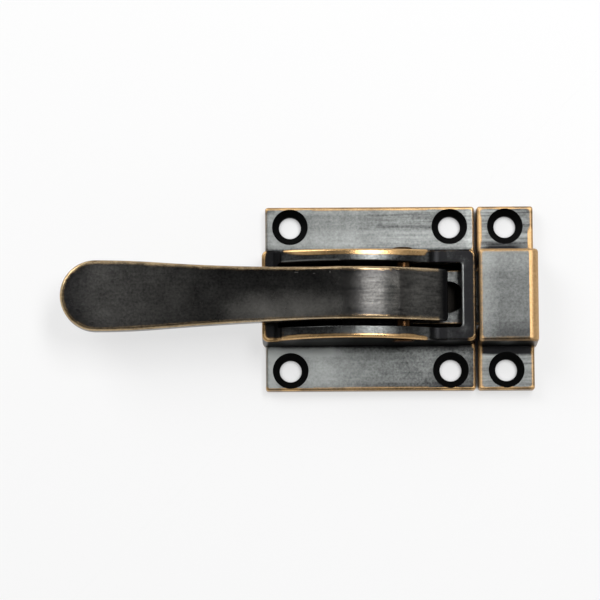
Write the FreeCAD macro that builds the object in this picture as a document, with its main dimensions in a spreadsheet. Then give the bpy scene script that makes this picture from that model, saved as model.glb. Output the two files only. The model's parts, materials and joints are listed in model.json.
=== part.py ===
"""Cupboard catch latch: a cast lever latch with a spring bolt, and the strike that takes the bolt.

The origin is the middle of the case plate on its back face. +X points to the strike, +Y along the
short way of the door edge and +Z out of the door. Lifting the paddle turns the lever on its pin, and
the nose under the pin draws the bolt back against its spring.
"""
import FreeCAD, Part
import math
import os

import Sketcher

# Driving sizes in millimetres and degrees
SIZES = {
    # case plate and its screw holes
    "plate_length": 38.0,
    "plate_width": 33.5,
    "plate_thick": 2.4,
    "plate_corner_radius": 0.5,
    "plate_edge_radius": 0.45,
    "screw_edge_along": 4.5,
    "screw_edge_across": 3.65,
    "screw_hole_diameter": 4.0,
    "countersink_diameter": 6.5,
    "countersink_angle": 90.0,
    # housing that stands on the plate
    "housing_overhang": 0.6,
    "housing_base_width": 17.6,
    "housing_draft": 4.0,
    "housing_corner_radius": 1.2,
    "housing_rim_radius": 0.45,
    "sill_length": 2.0,
    "sill_curve_radius": 1.6,
    "shoulder_radius": 0.9,
    "hump_height": 12.0,
    "hump_radius": 27.0,
    "hump_centre_x": -3.5,
    "head_height": 7.6,
    "head_curve_radius": 4.0,
    "slot_width": 11.6,
    "slot_left_wall": 3.0,
    "slot_right_wall": 2.6,
    "slot_corner_radius": 0.6,
    "slot_rim_radius": 0.25,
    # pivot pin
    "pivot_x": 5.8,
    "pivot_height": 7.8,
    "pin_diameter": 2.8,
    "pin_seat_clearance": 0.02,
    "pin_running_clearance": 0.06,
    "pin_head_diameter": 3.7,
    "pin_head_taper": 0.45,
    "pin_head_proud": 0.25,
    "pin_head_round": 0.22,
    # lever
    "lever_tip_reach": 55.8,
    "lever_end_x": 13.9,
    "lever_width": 9.5,
    "paddle_width": 12.8,
    "paddle_shoulder_radius": 150.0,
    "lever_neck_x": -5.8,
    "lever_proud": 1.2,
    "lever_thick": 3.2,
    "paddle_sweep_radius": 170.0,
    "paddle_saddle_x": -39.0,
    "lever_rest_gap": 0.2,
    "lever_crease_x": 5.0,
    "lever_crease_radius": 6.0,
    "lever_front_slope": 24.0,
    "lever_lip_thick": 0.8,
    "lever_corner_radius": 0.7,
    "lever_edge_radius": 0.6,
    "lever_underside_radius": 0.4,
    "hub_diameter": 5.4,
    "nose_width": 3.0,
    "nose_thick": 1.8,
    "nose_offset_x": 3.2,
    "nose_drop": 6.1,
    # spring bolt
    "bolt_width": 10.0,
    "bolt_thick": 3.0,
    "bolt_slide_clearance": 0.1,
    "bolt_engagement": 1.5,
    "bolt_tip_flat": 1.0,
    "bolt_bevel_length": 2.4,
    "bolt_slot_width": 5.8,
    "bolt_slot_end_x": 14.1,
    "bolt_nose_play": 0.1,
    "bolt_tail_x": -5.0,
    "bolt_tail_length": 5.0,
    "bolt_edge_radius": 0.3,
    "stem_diameter": 1.8,
    "stem_length": 7.0,
    # bolt spring
    "spring_outer_diameter": 3.0,
    "spring_wire_diameter": 0.4,
    "spring_turns": 7.0,
    "spring_pocket_depth": 0.6,
    "spring_pocket_clearance": 0.16,
    "spring_seat_clearance": 0.1,
    # back cover and its rivets
    "cover_thick": 0.8,
    "cover_width": 16.0,
    "cover_left_wall": 1.8,
    "cover_clearance": 0.1,
    "rivet_diameter": 1.6,
    "rivet_length": 2.6,
    "rivet_clearance": 0.03,
    "rivet_edge_along": 4.8,
    "rivet_edge_across": 1.05,
    # strike
    "strike_gap": 0.5,
    "strike_width": 10.2,
    "strike_box_base_width": 17.8,
    "strike_box_height": 7.8,
    "strike_box_overhang": 0.6,
    "strike_box_draft": 4.0,
    "strike_roof_thick": 1.8,
    "strike_end_wall": 2.2,
    "strike_side_clearance": 0.4,
    "strike_box_rim_radius": 0.65,
    "strike_box_end_radius": 1.6,
    "strike_mouth_radius": 0.5,
}

# How far a cutting profile reaches past the solid that it cuts
CUT_MARGIN = 2.0

# The four corners of a rectangular pattern, as signs along X and along Y
CORNERS = [(-1, -1), (1, -1), (1, 1), (-1, 1)]

# How near two places are to count as one, for an edge or face that is looked up
SAME_PLACE = 1e-4


class Size:
    """A dimension with its value and the spreadsheet expression that it comes from."""

    def __init__(self, value, text):
        self.value = value
        self.text = text

    def __add__(self, other):
        other = as_size(other)
        return Size(self.value + other.value, f"({self.text} + {other.text})")

    def __sub__(self, other):
        other = as_size(other)
        return Size(self.value - other.value, f"({self.text} - {other.text})")

    def __mul__(self, other):
        other = as_size(other)
        return Size(self.value * other.value, f"({self.text} * {other.text})")

    def __truediv__(self, other):
        other = as_size(other)
        return Size(self.value / other.value, f"({self.text} / {other.text})")

    def __neg__(self):
        return Size(-self.value, f"(0 - {self.text})")


def as_size(item):
    return item if isinstance(item, Size) else Size(float(item), repr(float(item)))


def tangent(angle):
    return Size(math.tan(math.radians(angle.value)), f"tan({angle.text})")


def leg(hypotenuse, other_leg):
    """The third side of a right triangle."""
    value = math.sqrt(hypotenuse.value ** 2 - other_leg.value ** 2)
    return Size(value, f"sqrt({hypotenuse.text} ^ 2 - {other_leg.text} ^ 2)")


def meeting_point(centre_a, reach_a, centre_b, reach_b):
    """The upper of the two points at reach_a from centre_a and at reach_b from centre_b."""
    across = centre_b - centre_a
    gap = across.Length
    along = (gap ** 2 + reach_a ** 2 - reach_b ** 2) / (2 * gap)
    rise = math.sqrt(reach_a ** 2 - along ** 2)
    direction = across / gap
    square = FreeCAD.Vector(-direction.y, direction.x, 0)
    first = centre_a + direction * along + square * rise
    second = centre_a + direction * along - square * rise
    return first if first.y > second.y else second


def flat(x, y):
    return FreeCAD.Vector(x, y, 0)


def angle_of(centre, point):
    return math.atan2(point.y - centre.y, point.x - centre.x)


def bind(item, prop, size):
    """Give a property its value from the sheet."""
    item.setExpression(prop, as_size(size).text)


class Drawing:
    """A sketch on one of its body's origin planes, with points and radii bound to the sheet."""

    START, END, CENTRE = range(1, 4)
    HORIZONTAL_AXIS, VERTICAL_AXIS = -1, -2
    ORIGIN = (HORIZONTAL_AXIS, START)

    def __init__(self, body, name, plane, at=(0, 0, 0)):
        self.sketch = body.newObject("Sketcher::SketchObject", name)
        role = [item for item in body.Origin.OriginFeatures if item.Role == plane]
        self.sketch.AttachmentSupport = [(role[0], "")]
        self.sketch.MapMode = "FlatFace"
        for axis, shift in zip("xyz", at):
            if isinstance(shift, Size):
                bind(self.sketch, f"AttachmentOffset.Base.{axis}", shift)

    def relate(self, kind, *items):
        return self.sketch.addConstraint(Sketcher.Constraint(kind, *items))

    def measure(self, kind, size, *items):
        row = self.relate(kind, *items, size.value)
        self.sketch.setExpression(f"Constraints[{row}]", size.text)

    def put(self, piece, spot, x=None, y=None):
        """Fix a point of a piece at x and y from the sketch's origin, or only one of them."""
        kinds = (("DistanceX", x, self.VERTICAL_AXIS), ("DistanceY", y, self.HORIZONTAL_AXIS))
        for kind, size, axis in kinds:
            if size is None:
                continue
            size = as_size(size)
            if size.value == 0:
                self.relate("PointOnObject", piece, spot, axis)
            else:
                self.measure(kind, size, *self.ORIGIN, piece, spot)

    def line(self, start, end):
        return self.sketch.addGeometry(Part.LineSegment(start, end), False)

    def arc(self, centre, radius, start, end):
        """An arc that runs counterclockwise from start to end."""
        circle = Part.Circle(centre, FreeCAD.Vector(0, 0, 1), radius)
        first = angle_of(centre, start)
        last = angle_of(centre, end)
        return self.sketch.addGeometry(Part.ArcOfCircle(circle, first, last), False)

    def circle(self, x, y, diameter):
        x, y = as_size(x), as_size(y)
        shape = Part.Circle(flat(x.value, y.value), FreeCAD.Vector(0, 0, 1), diameter.value / 2)
        piece = self.sketch.addGeometry(shape, False)
        self.put(piece, self.CENTRE, x, y)
        self.measure("Diameter", diameter, piece)

    def polygon(self, corners):
        corners = [(as_size(x), as_size(y)) for x, y in corners]
        spots = [flat(x.value, y.value) for x, y in corners]
        sides = [self.line(spot, spots[(row + 1) % len(spots)]) for row, spot in enumerate(spots)]
        for row, side in enumerate(sides):
            self.relate("Coincident", side, self.END, sides[(row + 1) % len(sides)], self.START)
            self.put(side, self.START, *corners[row])

    def rectangle(self, left, right, bottom, top):
        self.polygon([(left, bottom), (right, bottom), (right, top), (left, top)])

    def smooth(self, piece, spot, other, other_spot):
        self.relate("Tangent", piece, spot, other, other_spot)

    def join(self, piece, spot, other, other_spot):
        self.relate("Coincident", piece, spot, other, other_spot)


def settled(feature):
    """Recompute a new feature and stop if it failed."""
    feature.Document.recompute()
    if "Invalid" in feature.State or "Error" in feature.State:
        raise RuntimeError(f"{feature.Name} failed: {feature.getStatusString()}")
    return feature


def add(body, kind, name, drawing, **settings):
    """Add a sketch-based feature. Sizes among the settings are bound to the sheet."""
    feature = body.newObject(f"PartDesign::{kind}", name)
    feature.Profile = drawing.sketch
    for prop, setting in settings.items():
        if isinstance(setting, Size):
            bind(feature, prop, setting)
        else:
            setattr(feature, prop, setting)
    return settled(feature)


def cut(body, kind, name, drawing, **settings):
    """Add a feature that has to take material away."""
    before = body.Tip.Shape.Volume
    feature = add(body, kind, name, drawing, **settings)
    if feature.Shape.isNull() or feature.Shape.Volume >= before:
        raise RuntimeError(f"{name} cuts nothing")
    return feature


def edge_names(shape, test):
    return [f"Edge{row}" for row, edge in enumerate(shape.Edges, start=1) if test(edge)]


def soften(body, kind, name, test, prop, size):
    """Fillet or chamfer the edges of the body that pass the test."""
    base = body.Tip
    names = edge_names(base.Shape, test)
    if not names:
        raise RuntimeError(f"{name} finds no edge")
    feature = body.newObject(f"PartDesign::{kind}", name)
    feature.Base = (base, names)
    bind(feature, prop, size)
    return settled(feature)


def near(value, target):
    return abs(value - target) < SAME_PLACE


def spans(edge, axis):
    box = edge.BoundBox
    return {"x": box.XLength, "y": box.YLength, "z": box.ZLength}[axis]


def lies_at(edge, axis, place):
    box = edge.BoundBox
    low = {"x": box.XMin, "y": box.YMin, "z": box.ZMin}[axis]
    high = {"x": box.XMax, "y": box.YMax, "z": box.ZMax}[axis]
    return near(low, place) and near(high, place)


def edge_faces(shape, edge):
    return [face for face in shape.Faces if any(edge.isSame(other) for other in face.Edges)]


def new_body(doc, label):
    body = doc.addObject("PartDesign::Body", label)
    body.Label = label
    return body


def fill_sheet(doc):
    sheet = doc.addObject("Spreadsheet::Sheet", "Sizes")
    sizes = {}
    for row, (name, value) in enumerate(SIZES.items(), start=1):
        sheet.set(f"A{row}", name)
        sheet.set(f"B{row}", str(value))
        sheet.setAlias(f"B{row}", name)
        sizes[name] = Size(value, f"Sizes.{name}")
    doc.recompute()
    return type("Sheet", (), sizes)


class Latch:
    """The sizes that more than one piece shares, worked out from the sheet."""

    def __init__(self, sheet):
        self.sheet = sheet
        self.plate_half = sheet.plate_length / 2
        self.left_end = -(self.plate_half + sheet.housing_overhang)
        self.right_end = self.plate_half
        self.slot_left = self.left_end + sheet.slot_left_wall
        self.slot_right = self.right_end - sheet.slot_right_wall

        self.hump_centre_z = sheet.hump_height - sheet.hump_radius
        self.lever_hump_radius = sheet.hump_radius + sheet.lever_proud
        centres_apart = self.lever_hump_radius + sheet.paddle_sweep_radius
        self.sweep_centre_z = self.hump_centre_z + leg(
            centres_apart, sheet.hump_centre_x - sheet.paddle_saddle_x
        )
        underside_radius = sheet.paddle_sweep_radius + sheet.lever_thick
        past_saddle = self.left_end - sheet.paddle_saddle_x
        underside_over_sill = self.sweep_centre_z - leg(underside_radius, past_saddle)
        self.sill_height = underside_over_sill - sheet.lever_rest_gap

        self.bolt_bottom = sheet.cover_thick + sheet.bolt_slide_clearance
        self.bolt_top = self.bolt_bottom + sheet.bolt_thick
        self.bolt_middle = self.bolt_bottom + sheet.bolt_thick / 2
        self.bolt_tip = self.right_end + sheet.strike_gap + sheet.bolt_engagement
        self.strike_left = self.right_end + sheet.strike_gap
        self.spring_left = self.slot_left - sheet.spring_pocket_depth

        self.screw_along = self.plate_half - sheet.screw_edge_along
        self.screw_across = sheet.plate_width / 2 - sheet.screw_edge_across
        self.cover_left = self.left_end + sheet.cover_left_wall
        self.cover_half = sheet.cover_width / 2

    def rivet_places(self):
        """The four rivets, each in a corner of the cover."""
        sheet = self.sheet
        middle = (self.cover_left + self.right_end) / 2
        along = (self.right_end - self.cover_left) / 2 - sheet.rivet_edge_along
        across = self.cover_half - sheet.rivet_edge_across
        return [(middle + along * right, across * up) for right, up in CORNERS]


def make_housing(doc, latch):
    """The humped block that stands on the plate, before the slot is cut in it."""
    sheet = latch.sheet
    body = new_body(doc, "housing_block")
    height = sheet.hump_height + CUT_MARGIN
    half_base = sheet.housing_base_width / 2
    half_top = half_base - height * tangent(sheet.housing_draft)

    section = Drawing(body, "housing_section", "YZ_Plane")
    section.polygon([(-half_base, 0), (half_base, 0), (half_top, height), (-half_top, height)])
    reach = {"Length": latch.right_end, "Length2": -latch.left_end}
    add(body, "Pad", "housing", section, SideType="Two sides", **reach)

    profile = housing_profile(body, latch, height)
    cut(body, "Pocket", "housing_top", profile, Type="ThroughAll", Midplane=True)

    def outer_corner(edge):
        at_end = lies_at(edge, "x", latch.left_end.value) or lies_at(edge, "x", latch.right_end.value)
        return at_end and spans(edge, "z") > sheet.plate_thick.value

    soften(body, "Fillet", "housing_corners", outer_corner, "Radius", sheet.housing_corner_radius)

    base = body.Tip.Shape

    def outer_rim(edge):
        """An edge where the top of the housing meets its outer wall."""
        if edge.BoundBox.ZMin < sheet.plate_thick.value:
            return False
        faces = edge_faces(base, edge)
        if len(faces) < 2:
            return False
        tops = [face for face in faces if is_housing_top(face, latch)]
        return len(tops) == 1

    soften(body, "Fillet", "housing_rim", outer_rim, "Radius", sheet.housing_rim_radius)
    return body


def add_plate(body, latch):
    """The plate, rounded at its corners and along its top edges."""
    sheet = latch.sheet
    half_width = sheet.plate_width / 2
    outline = Drawing(body, "plate_outline", "XY_Plane")
    outline.rectangle(-latch.plate_half, latch.plate_half, -half_width, half_width)
    add(body, "Pad", "plate", outline, Length=sheet.plate_thick)

    def plate_corner(edge):
        box = edge.BoundBox
        upright = near(box.ZLength, sheet.plate_thick.value) and near(box.XLength, 0)
        return upright and near(abs(box.Center.y), half_width.value)

    soften(body, "Fillet", "plate_corners", plate_corner, "Radius", sheet.plate_corner_radius)

    def plate_edge(edge):
        return lies_at(edge, "z", sheet.plate_thick.value)

    soften(body, "Fillet", "plate_edges", plate_edge, "Radius", sheet.plate_edge_radius)


def make_case(doc, latch):
    """The casting: a plate with four countersunk holes, and the open humped housing on it."""
    sheet = latch.sheet
    housing = make_housing(doc, latch)
    body = new_body(doc, "latch_case")
    add_plate(body, latch)
    casting = body.newObject("PartDesign::Boolean", "casting")
    casting.addObjects([housing])
    casting.Type = "Fuse"
    settled(casting)

    places = [(latch.screw_along * right, latch.screw_across * up) for right, up in CORNERS]
    add_screw_holes(body, sheet, places)

    half_slot = sheet.slot_width / 2
    slot = Drawing(body, "slot_outline", "XY_Plane")
    slot.rectangle(latch.slot_left, latch.slot_right, -half_slot, half_slot)
    cut(body, "Pocket", "slot", slot, Type="ThroughAll", Midplane=True)

    def slot_corner(edge):
        box = edge.BoundBox
        upright = near(box.XLength, 0) and near(box.YLength, 0)
        on_slot = near(abs(box.Center.y), half_slot.value)
        return upright and on_slot and box.ZLength > sheet.plate_thick.value

    soften(body, "Fillet", "slot_corners", slot_corner, "Radius", sheet.slot_corner_radius)

    slotted = body.Tip.Shape

    def slot_rim(edge):
        """A top edge of the slot, on the sill, the hump or the head."""
        box = edge.BoundBox
        if box.ZMin < sheet.plate_thick.value + CUT_MARGIN or box.ZLength > sheet.hump_height.value / 2:
            return False
        inside = abs(box.Center.y) < half_slot.value + SAME_PLACE
        past_left = box.Center.x > latch.slot_left.value - SAME_PLACE
        within = past_left and box.Center.x < latch.slot_right.value + SAME_PLACE
        tops = [face for face in edge_faces(slotted, edge) if is_housing_top(face, latch)]
        return inside and within and len(tops) == 1

    soften(body, "Fillet", "slot_rim", slot_rim, "Radius", sheet.slot_rim_radius)

    half_mouth = sheet.bolt_width / 2 + sheet.bolt_slide_clearance
    mouth_start = latch.slot_right - sheet.slot_corner_radius
    mouth_top = latch.bolt_top + sheet.bolt_slide_clearance
    mouth = Drawing(body, "bolt_mouth_outline", "YZ_Plane", at=(0, 0, mouth_start))
    mouth.rectangle(-half_mouth, half_mouth, -as_size(CUT_MARGIN), mouth_top)
    cut(body, "Pocket", "bolt_mouth", mouth, Type="ThroughAll", Reversed=True)

    half_recess = latch.cover_half + sheet.cover_clearance
    recess_left = latch.cover_left - sheet.cover_clearance
    recess = Drawing(body, "cover_recess_outline", "XY_Plane")
    recess.rectangle(recess_left, latch.right_end + CUT_MARGIN, -half_recess, half_recess)
    cut(body, "Pocket", "cover_recess", recess, Length=sheet.cover_thick, Reversed=True)

    rivets = Drawing(body, "rivet_holes_outline", "XY_Plane")
    for x, y in latch.rivet_places():
        rivets.circle(x, y, sheet.rivet_diameter + sheet.rivet_clearance * 2)
    depth = sheet.rivet_length + sheet.rivet_clearance
    cut(body, "Pocket", "rivet_holes", rivets, Length=depth, Reversed=True)

    pocket = Drawing(body, "spring_pocket_outline", "YZ_Plane", at=(0, 0, latch.spring_left))
    pocket.circle(0, latch.bolt_middle, sheet.spring_outer_diameter + sheet.spring_pocket_clearance * 2)
    depth = sheet.spring_pocket_depth + sheet.slot_corner_radius
    cut(body, "Pocket", "spring_pocket", pocket, Length=depth, Reversed=True)

    bore = pin_outline(body, "pin_bore_outline", latch, sheet.pin_seat_clearance, as_size(CUT_MARGIN))
    cut(body, "Groove", "pin_bore", bore, ReferenceAxis=(bore.sketch, ["V_Axis"]), Angle=360.0)
    return body


def is_housing_top(face, latch):
    """Whether a face belongs to the top of the housing, which runs straight across it."""
    least_rise = 0.15
    middle = face.valueAt(*middle_of(face))
    normal = face.normalAt(*middle_of(face))
    return near(normal.y, 0) and normal.z > least_rise and middle.z > latch.bolt_top.value


def middle_of(face):
    low_u, high_u, low_v, high_v = face.ParameterRange
    return (low_u + high_u) / 2, (low_v + high_v) / 2


def housing_profile(body, latch, height):
    """The space over the housing: sill, shoulder, hump and head, joined by tangent arcs."""
    sheet = latch.sheet
    left = latch.left_end - CUT_MARGIN
    right = latch.right_end + CUT_MARGIN
    sill_x = latch.left_end + sheet.sill_length
    hump = flat(sheet.hump_centre_x.value, latch.hump_centre_z.value)
    hump_radius = sheet.hump_radius.value
    sill_radius = sheet.sill_curve_radius.value
    shoulder_radius = sheet.shoulder_radius.value
    head_radius = sheet.head_curve_radius.value

    sill = flat(sill_x.value, latch.sill_height.value + sill_radius)
    shoulder = meeting_point(sill, sill_radius + shoulder_radius, hump, hump_radius - shoulder_radius)
    head_z = sheet.head_height.value + head_radius
    head_x = hump.x + math.sqrt((hump_radius + head_radius) ** 2 - (head_z - hump.y) ** 2)
    head = flat(head_x, head_z)

    sill_start = flat(sill_x.value, latch.sill_height.value)
    sill_end = sill + (shoulder - sill).normalize() * sill_radius
    hump_start = hump + (shoulder - hump).normalize() * hump_radius
    hump_end = hump + (head - hump).normalize() * hump_radius
    head_end = flat(head_x, sheet.head_height.value)

    drawing = Drawing(body, "housing_profile", "XZ_Plane")
    start, end, centre = drawing.START, drawing.END, drawing.CENTRE
    sill_line = drawing.line(flat(left.value, sill_start.y), sill_start)
    sill_arc = drawing.arc(sill, sill_radius, sill_start, sill_end)
    shoulder_arc = drawing.arc(shoulder, shoulder_radius, hump_start, sill_end)
    hump_arc = drawing.arc(hump, hump_radius, hump_end, hump_start)
    head_arc = drawing.arc(head, head_radius, hump_end, head_end)
    head_line = drawing.line(head_end, flat(right.value, head_end.y))
    right_line = drawing.line(flat(right.value, head_end.y), flat(right.value, height.value))
    top_line = drawing.line(flat(right.value, height.value), flat(left.value, height.value))
    left_line = drawing.line(flat(left.value, height.value), flat(left.value, sill_start.y))

    drawing.smooth(sill_line, end, sill_arc, start)
    drawing.smooth(sill_arc, end, shoulder_arc, end)
    drawing.smooth(shoulder_arc, start, hump_arc, end)
    drawing.smooth(hump_arc, start, head_arc, start)
    drawing.smooth(head_arc, end, head_line, start)
    drawing.join(head_line, end, right_line, start)
    drawing.join(right_line, end, top_line, start)
    drawing.join(top_line, end, left_line, start)
    drawing.join(left_line, end, sill_line, start)
    for level in (sill_line, head_line, top_line):
        drawing.relate("Horizontal", level)
    for upright in (right_line, left_line):
        drawing.relate("Vertical", upright)

    drawing.put(sill_line, start, left, latch.sill_height)
    drawing.put(sill_line, end, x=sill_x)
    drawing.put(hump_arc, centre, sheet.hump_centre_x, latch.hump_centre_z)
    drawing.put(top_line, start, right, height)
    drawing.put(head_line, end, y=sheet.head_height)
    drawing.measure("Radius", sheet.sill_curve_radius, sill_arc)
    drawing.measure("Radius", sheet.shoulder_radius, shoulder_arc)
    drawing.measure("Radius", sheet.hump_radius, hump_arc)
    drawing.measure("Radius", sheet.head_curve_radius, head_arc)
    return drawing


def add_screw_holes(body, sheet, places):
    """Countersunk through holes from the face of the plate, one at each place."""
    holes = Drawing(body, "screw_holes_outline", "XY_Plane", at=(0, 0, sheet.plate_thick))
    for x, y in places:
        holes.circle(x, y, sheet.screw_hole_diameter)
    before = body.Tip.Shape.Volume
    body.Document.recompute()
    hole = body.newObject("PartDesign::Hole", "screw_holes")
    hole.Profile = holes.sketch
    hole.DepthType = "ThroughAll"
    hole.ThreadType = "None"
    hole.HoleCutType = "Countersink"
    hole.HoleCutCustomValues = True
    bind(hole, "Diameter", sheet.screw_hole_diameter)
    bind(hole, "HoleCutDiameter", sheet.countersink_diameter)
    bind(hole, "HoleCutCountersinkAngle", sheet.countersink_angle)
    body.Document.recompute()
    if hole.Shape.Volume >= before:
        raise RuntimeError("screw_holes cut nothing")


def pin_outline(body, name, latch, clearance, beyond):
    """Half of the pin's outline, turned about its axis: a shank whose ends flare where they are peened."""
    sheet = latch.sheet
    wall_y = sheet.housing_base_width / 2 - sheet.pivot_height * tangent(sheet.housing_draft)
    shank = sheet.pin_diameter / 2 + clearance
    head = sheet.pin_head_diameter / 2 + clearance
    flare = wall_y - sheet.pin_head_taper
    reach = wall_y + beyond
    drawing = Drawing(body, name, "XY_Plane", at=(sheet.pivot_x, 0, sheet.pivot_height))
    drawing.polygon([
        (0, -reach),
        (head, -reach),
        (head, -wall_y),
        (shank, -flare),
        (shank, flare),
        (head, wall_y),
        (head, reach),
        (0, reach),
    ])
    return drawing


def make_pin(doc, latch):
    """The pivot pin, peened over at both ends in the flared holes of the cheeks."""
    sheet = latch.sheet
    body = new_body(doc, "pivot_pin")
    outline = pin_outline(body, "pin_outline", latch, as_size(0), sheet.pin_head_proud)
    add(body, "Revolution", "pin", outline, ReferenceAxis=(outline.sketch, ["V_Axis"]), Angle=360.0)

    def head_edge(edge):
        reach = body.Tip.Shape.BoundBox.YMax
        return lies_at(edge, "y", reach) or lies_at(edge, "y", -reach)

    soften(body, "Fillet", "peened_ends", head_edge, "Radius", sheet.pin_head_round)
    return body


def make_lever(doc, latch):
    """The lever: a paddle for the fingers, a hump that follows the housing, a hub and a nose."""
    sheet = latch.sheet
    body = new_body(doc, "lever_handle")
    profile = lever_profile(body, latch)
    add(body, "Pad", "blade", profile, SideType="Symmetric", Length=sheet.paddle_width + CUT_MARGIN)
    plan = lever_plan(body, latch)
    cut(body, "Pocket", "blade_outline", plan, Type="ThroughAll", Midplane=True)

    half_width = sheet.lever_width / 2

    def end_corner(edge):
        box = edge.BoundBox
        return near(box.Center.x, sheet.lever_end_x.value) and near(abs(box.Center.y), half_width.value)

    soften(body, "Fillet", "end_corners", end_corner, "Radius", sheet.lever_corner_radius)

    blade = body.Tip.Shape

    def rim(edge, sign):
        """An edge where the upper or lower face of the blade meets its side."""
        level_rise, upright_rise = 0.8, 0.35
        faces = edge_faces(blade, edge)
        if len(faces) != 2:
            return False
        rises = [face.normalAt(*middle_of(face)).z * sign for face in faces]
        return max(rises) > level_rise and abs(min(rises)) < upright_rise

    def top_rim(edge):
        return rim(edge, 1)

    soften(body, "Fillet", "top_edges", top_rim, "Radius", sheet.lever_edge_radius)
    blade = body.Tip.Shape

    def lower_rim(edge):
        """A lower edge of the paddle, as far as the neck."""
        return rim(edge, -1) and edge.BoundBox.XMax < sheet.lever_neck_x.value + SAME_PLACE

    soften(body, "Fillet", "lower_edges", lower_rim, "Radius", sheet.lever_underside_radius)

    hub = Drawing(body, "hub_outline", "XZ_Plane")
    hub.circle(sheet.pivot_x, sheet.pivot_height, sheet.hub_diameter)
    add(body, "Pad", "hub", hub, SideType="Symmetric", Length=sheet.lever_width)

    nose_x = sheet.pivot_x + sheet.nose_offset_x
    nose_tip = sheet.pivot_height - sheet.nose_drop
    nose = nose_outline(body, nose_x, sheet.nose_thick / 2, sheet.pivot_height, nose_tip)
    add(body, "Pad", "nose", nose, SideType="Symmetric", Length=sheet.nose_width)

    bore = Drawing(body, "bore_outline", "XZ_Plane")
    bore.circle(sheet.pivot_x, sheet.pivot_height, sheet.pin_diameter + sheet.pin_running_clearance * 2)
    cut(body, "Pocket", "bore", bore, Type="ThroughAll", Midplane=True)
    return body


def nose_outline(body, middle, radius, top, tip):
    """A finger that hangs from the hub and ends in a half round."""
    left, right = middle - radius, middle + radius
    round_z = tip + radius
    drawing = Drawing(body, "nose_outline", "XZ_Plane")
    start, end, centre = drawing.START, drawing.END, drawing.CENTRE
    corners = [(left, round_z), (left, top), (right, top), (right, round_z)]
    spots = [flat(x.value, z.value) for x, z in corners]
    left_side = drawing.line(spots[1], spots[0])
    tip_arc = drawing.arc(flat(middle.value, round_z.value), radius.value, spots[0], spots[3])
    right_side = drawing.line(spots[3], spots[2])
    top_side = drawing.line(spots[2], spots[1])
    drawing.smooth(left_side, end, tip_arc, start)
    drawing.smooth(tip_arc, end, right_side, start)
    drawing.join(right_side, end, top_side, start)
    drawing.join(top_side, end, left_side, start)
    drawing.relate("Vertical", left_side)
    drawing.relate("Vertical", right_side)
    drawing.put(top_side, start, y=top)
    drawing.put(top_side, end, y=top)
    drawing.put(tip_arc, centre, middle, round_z)
    drawing.measure("Radius", radius, tip_arc)
    return drawing


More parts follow.
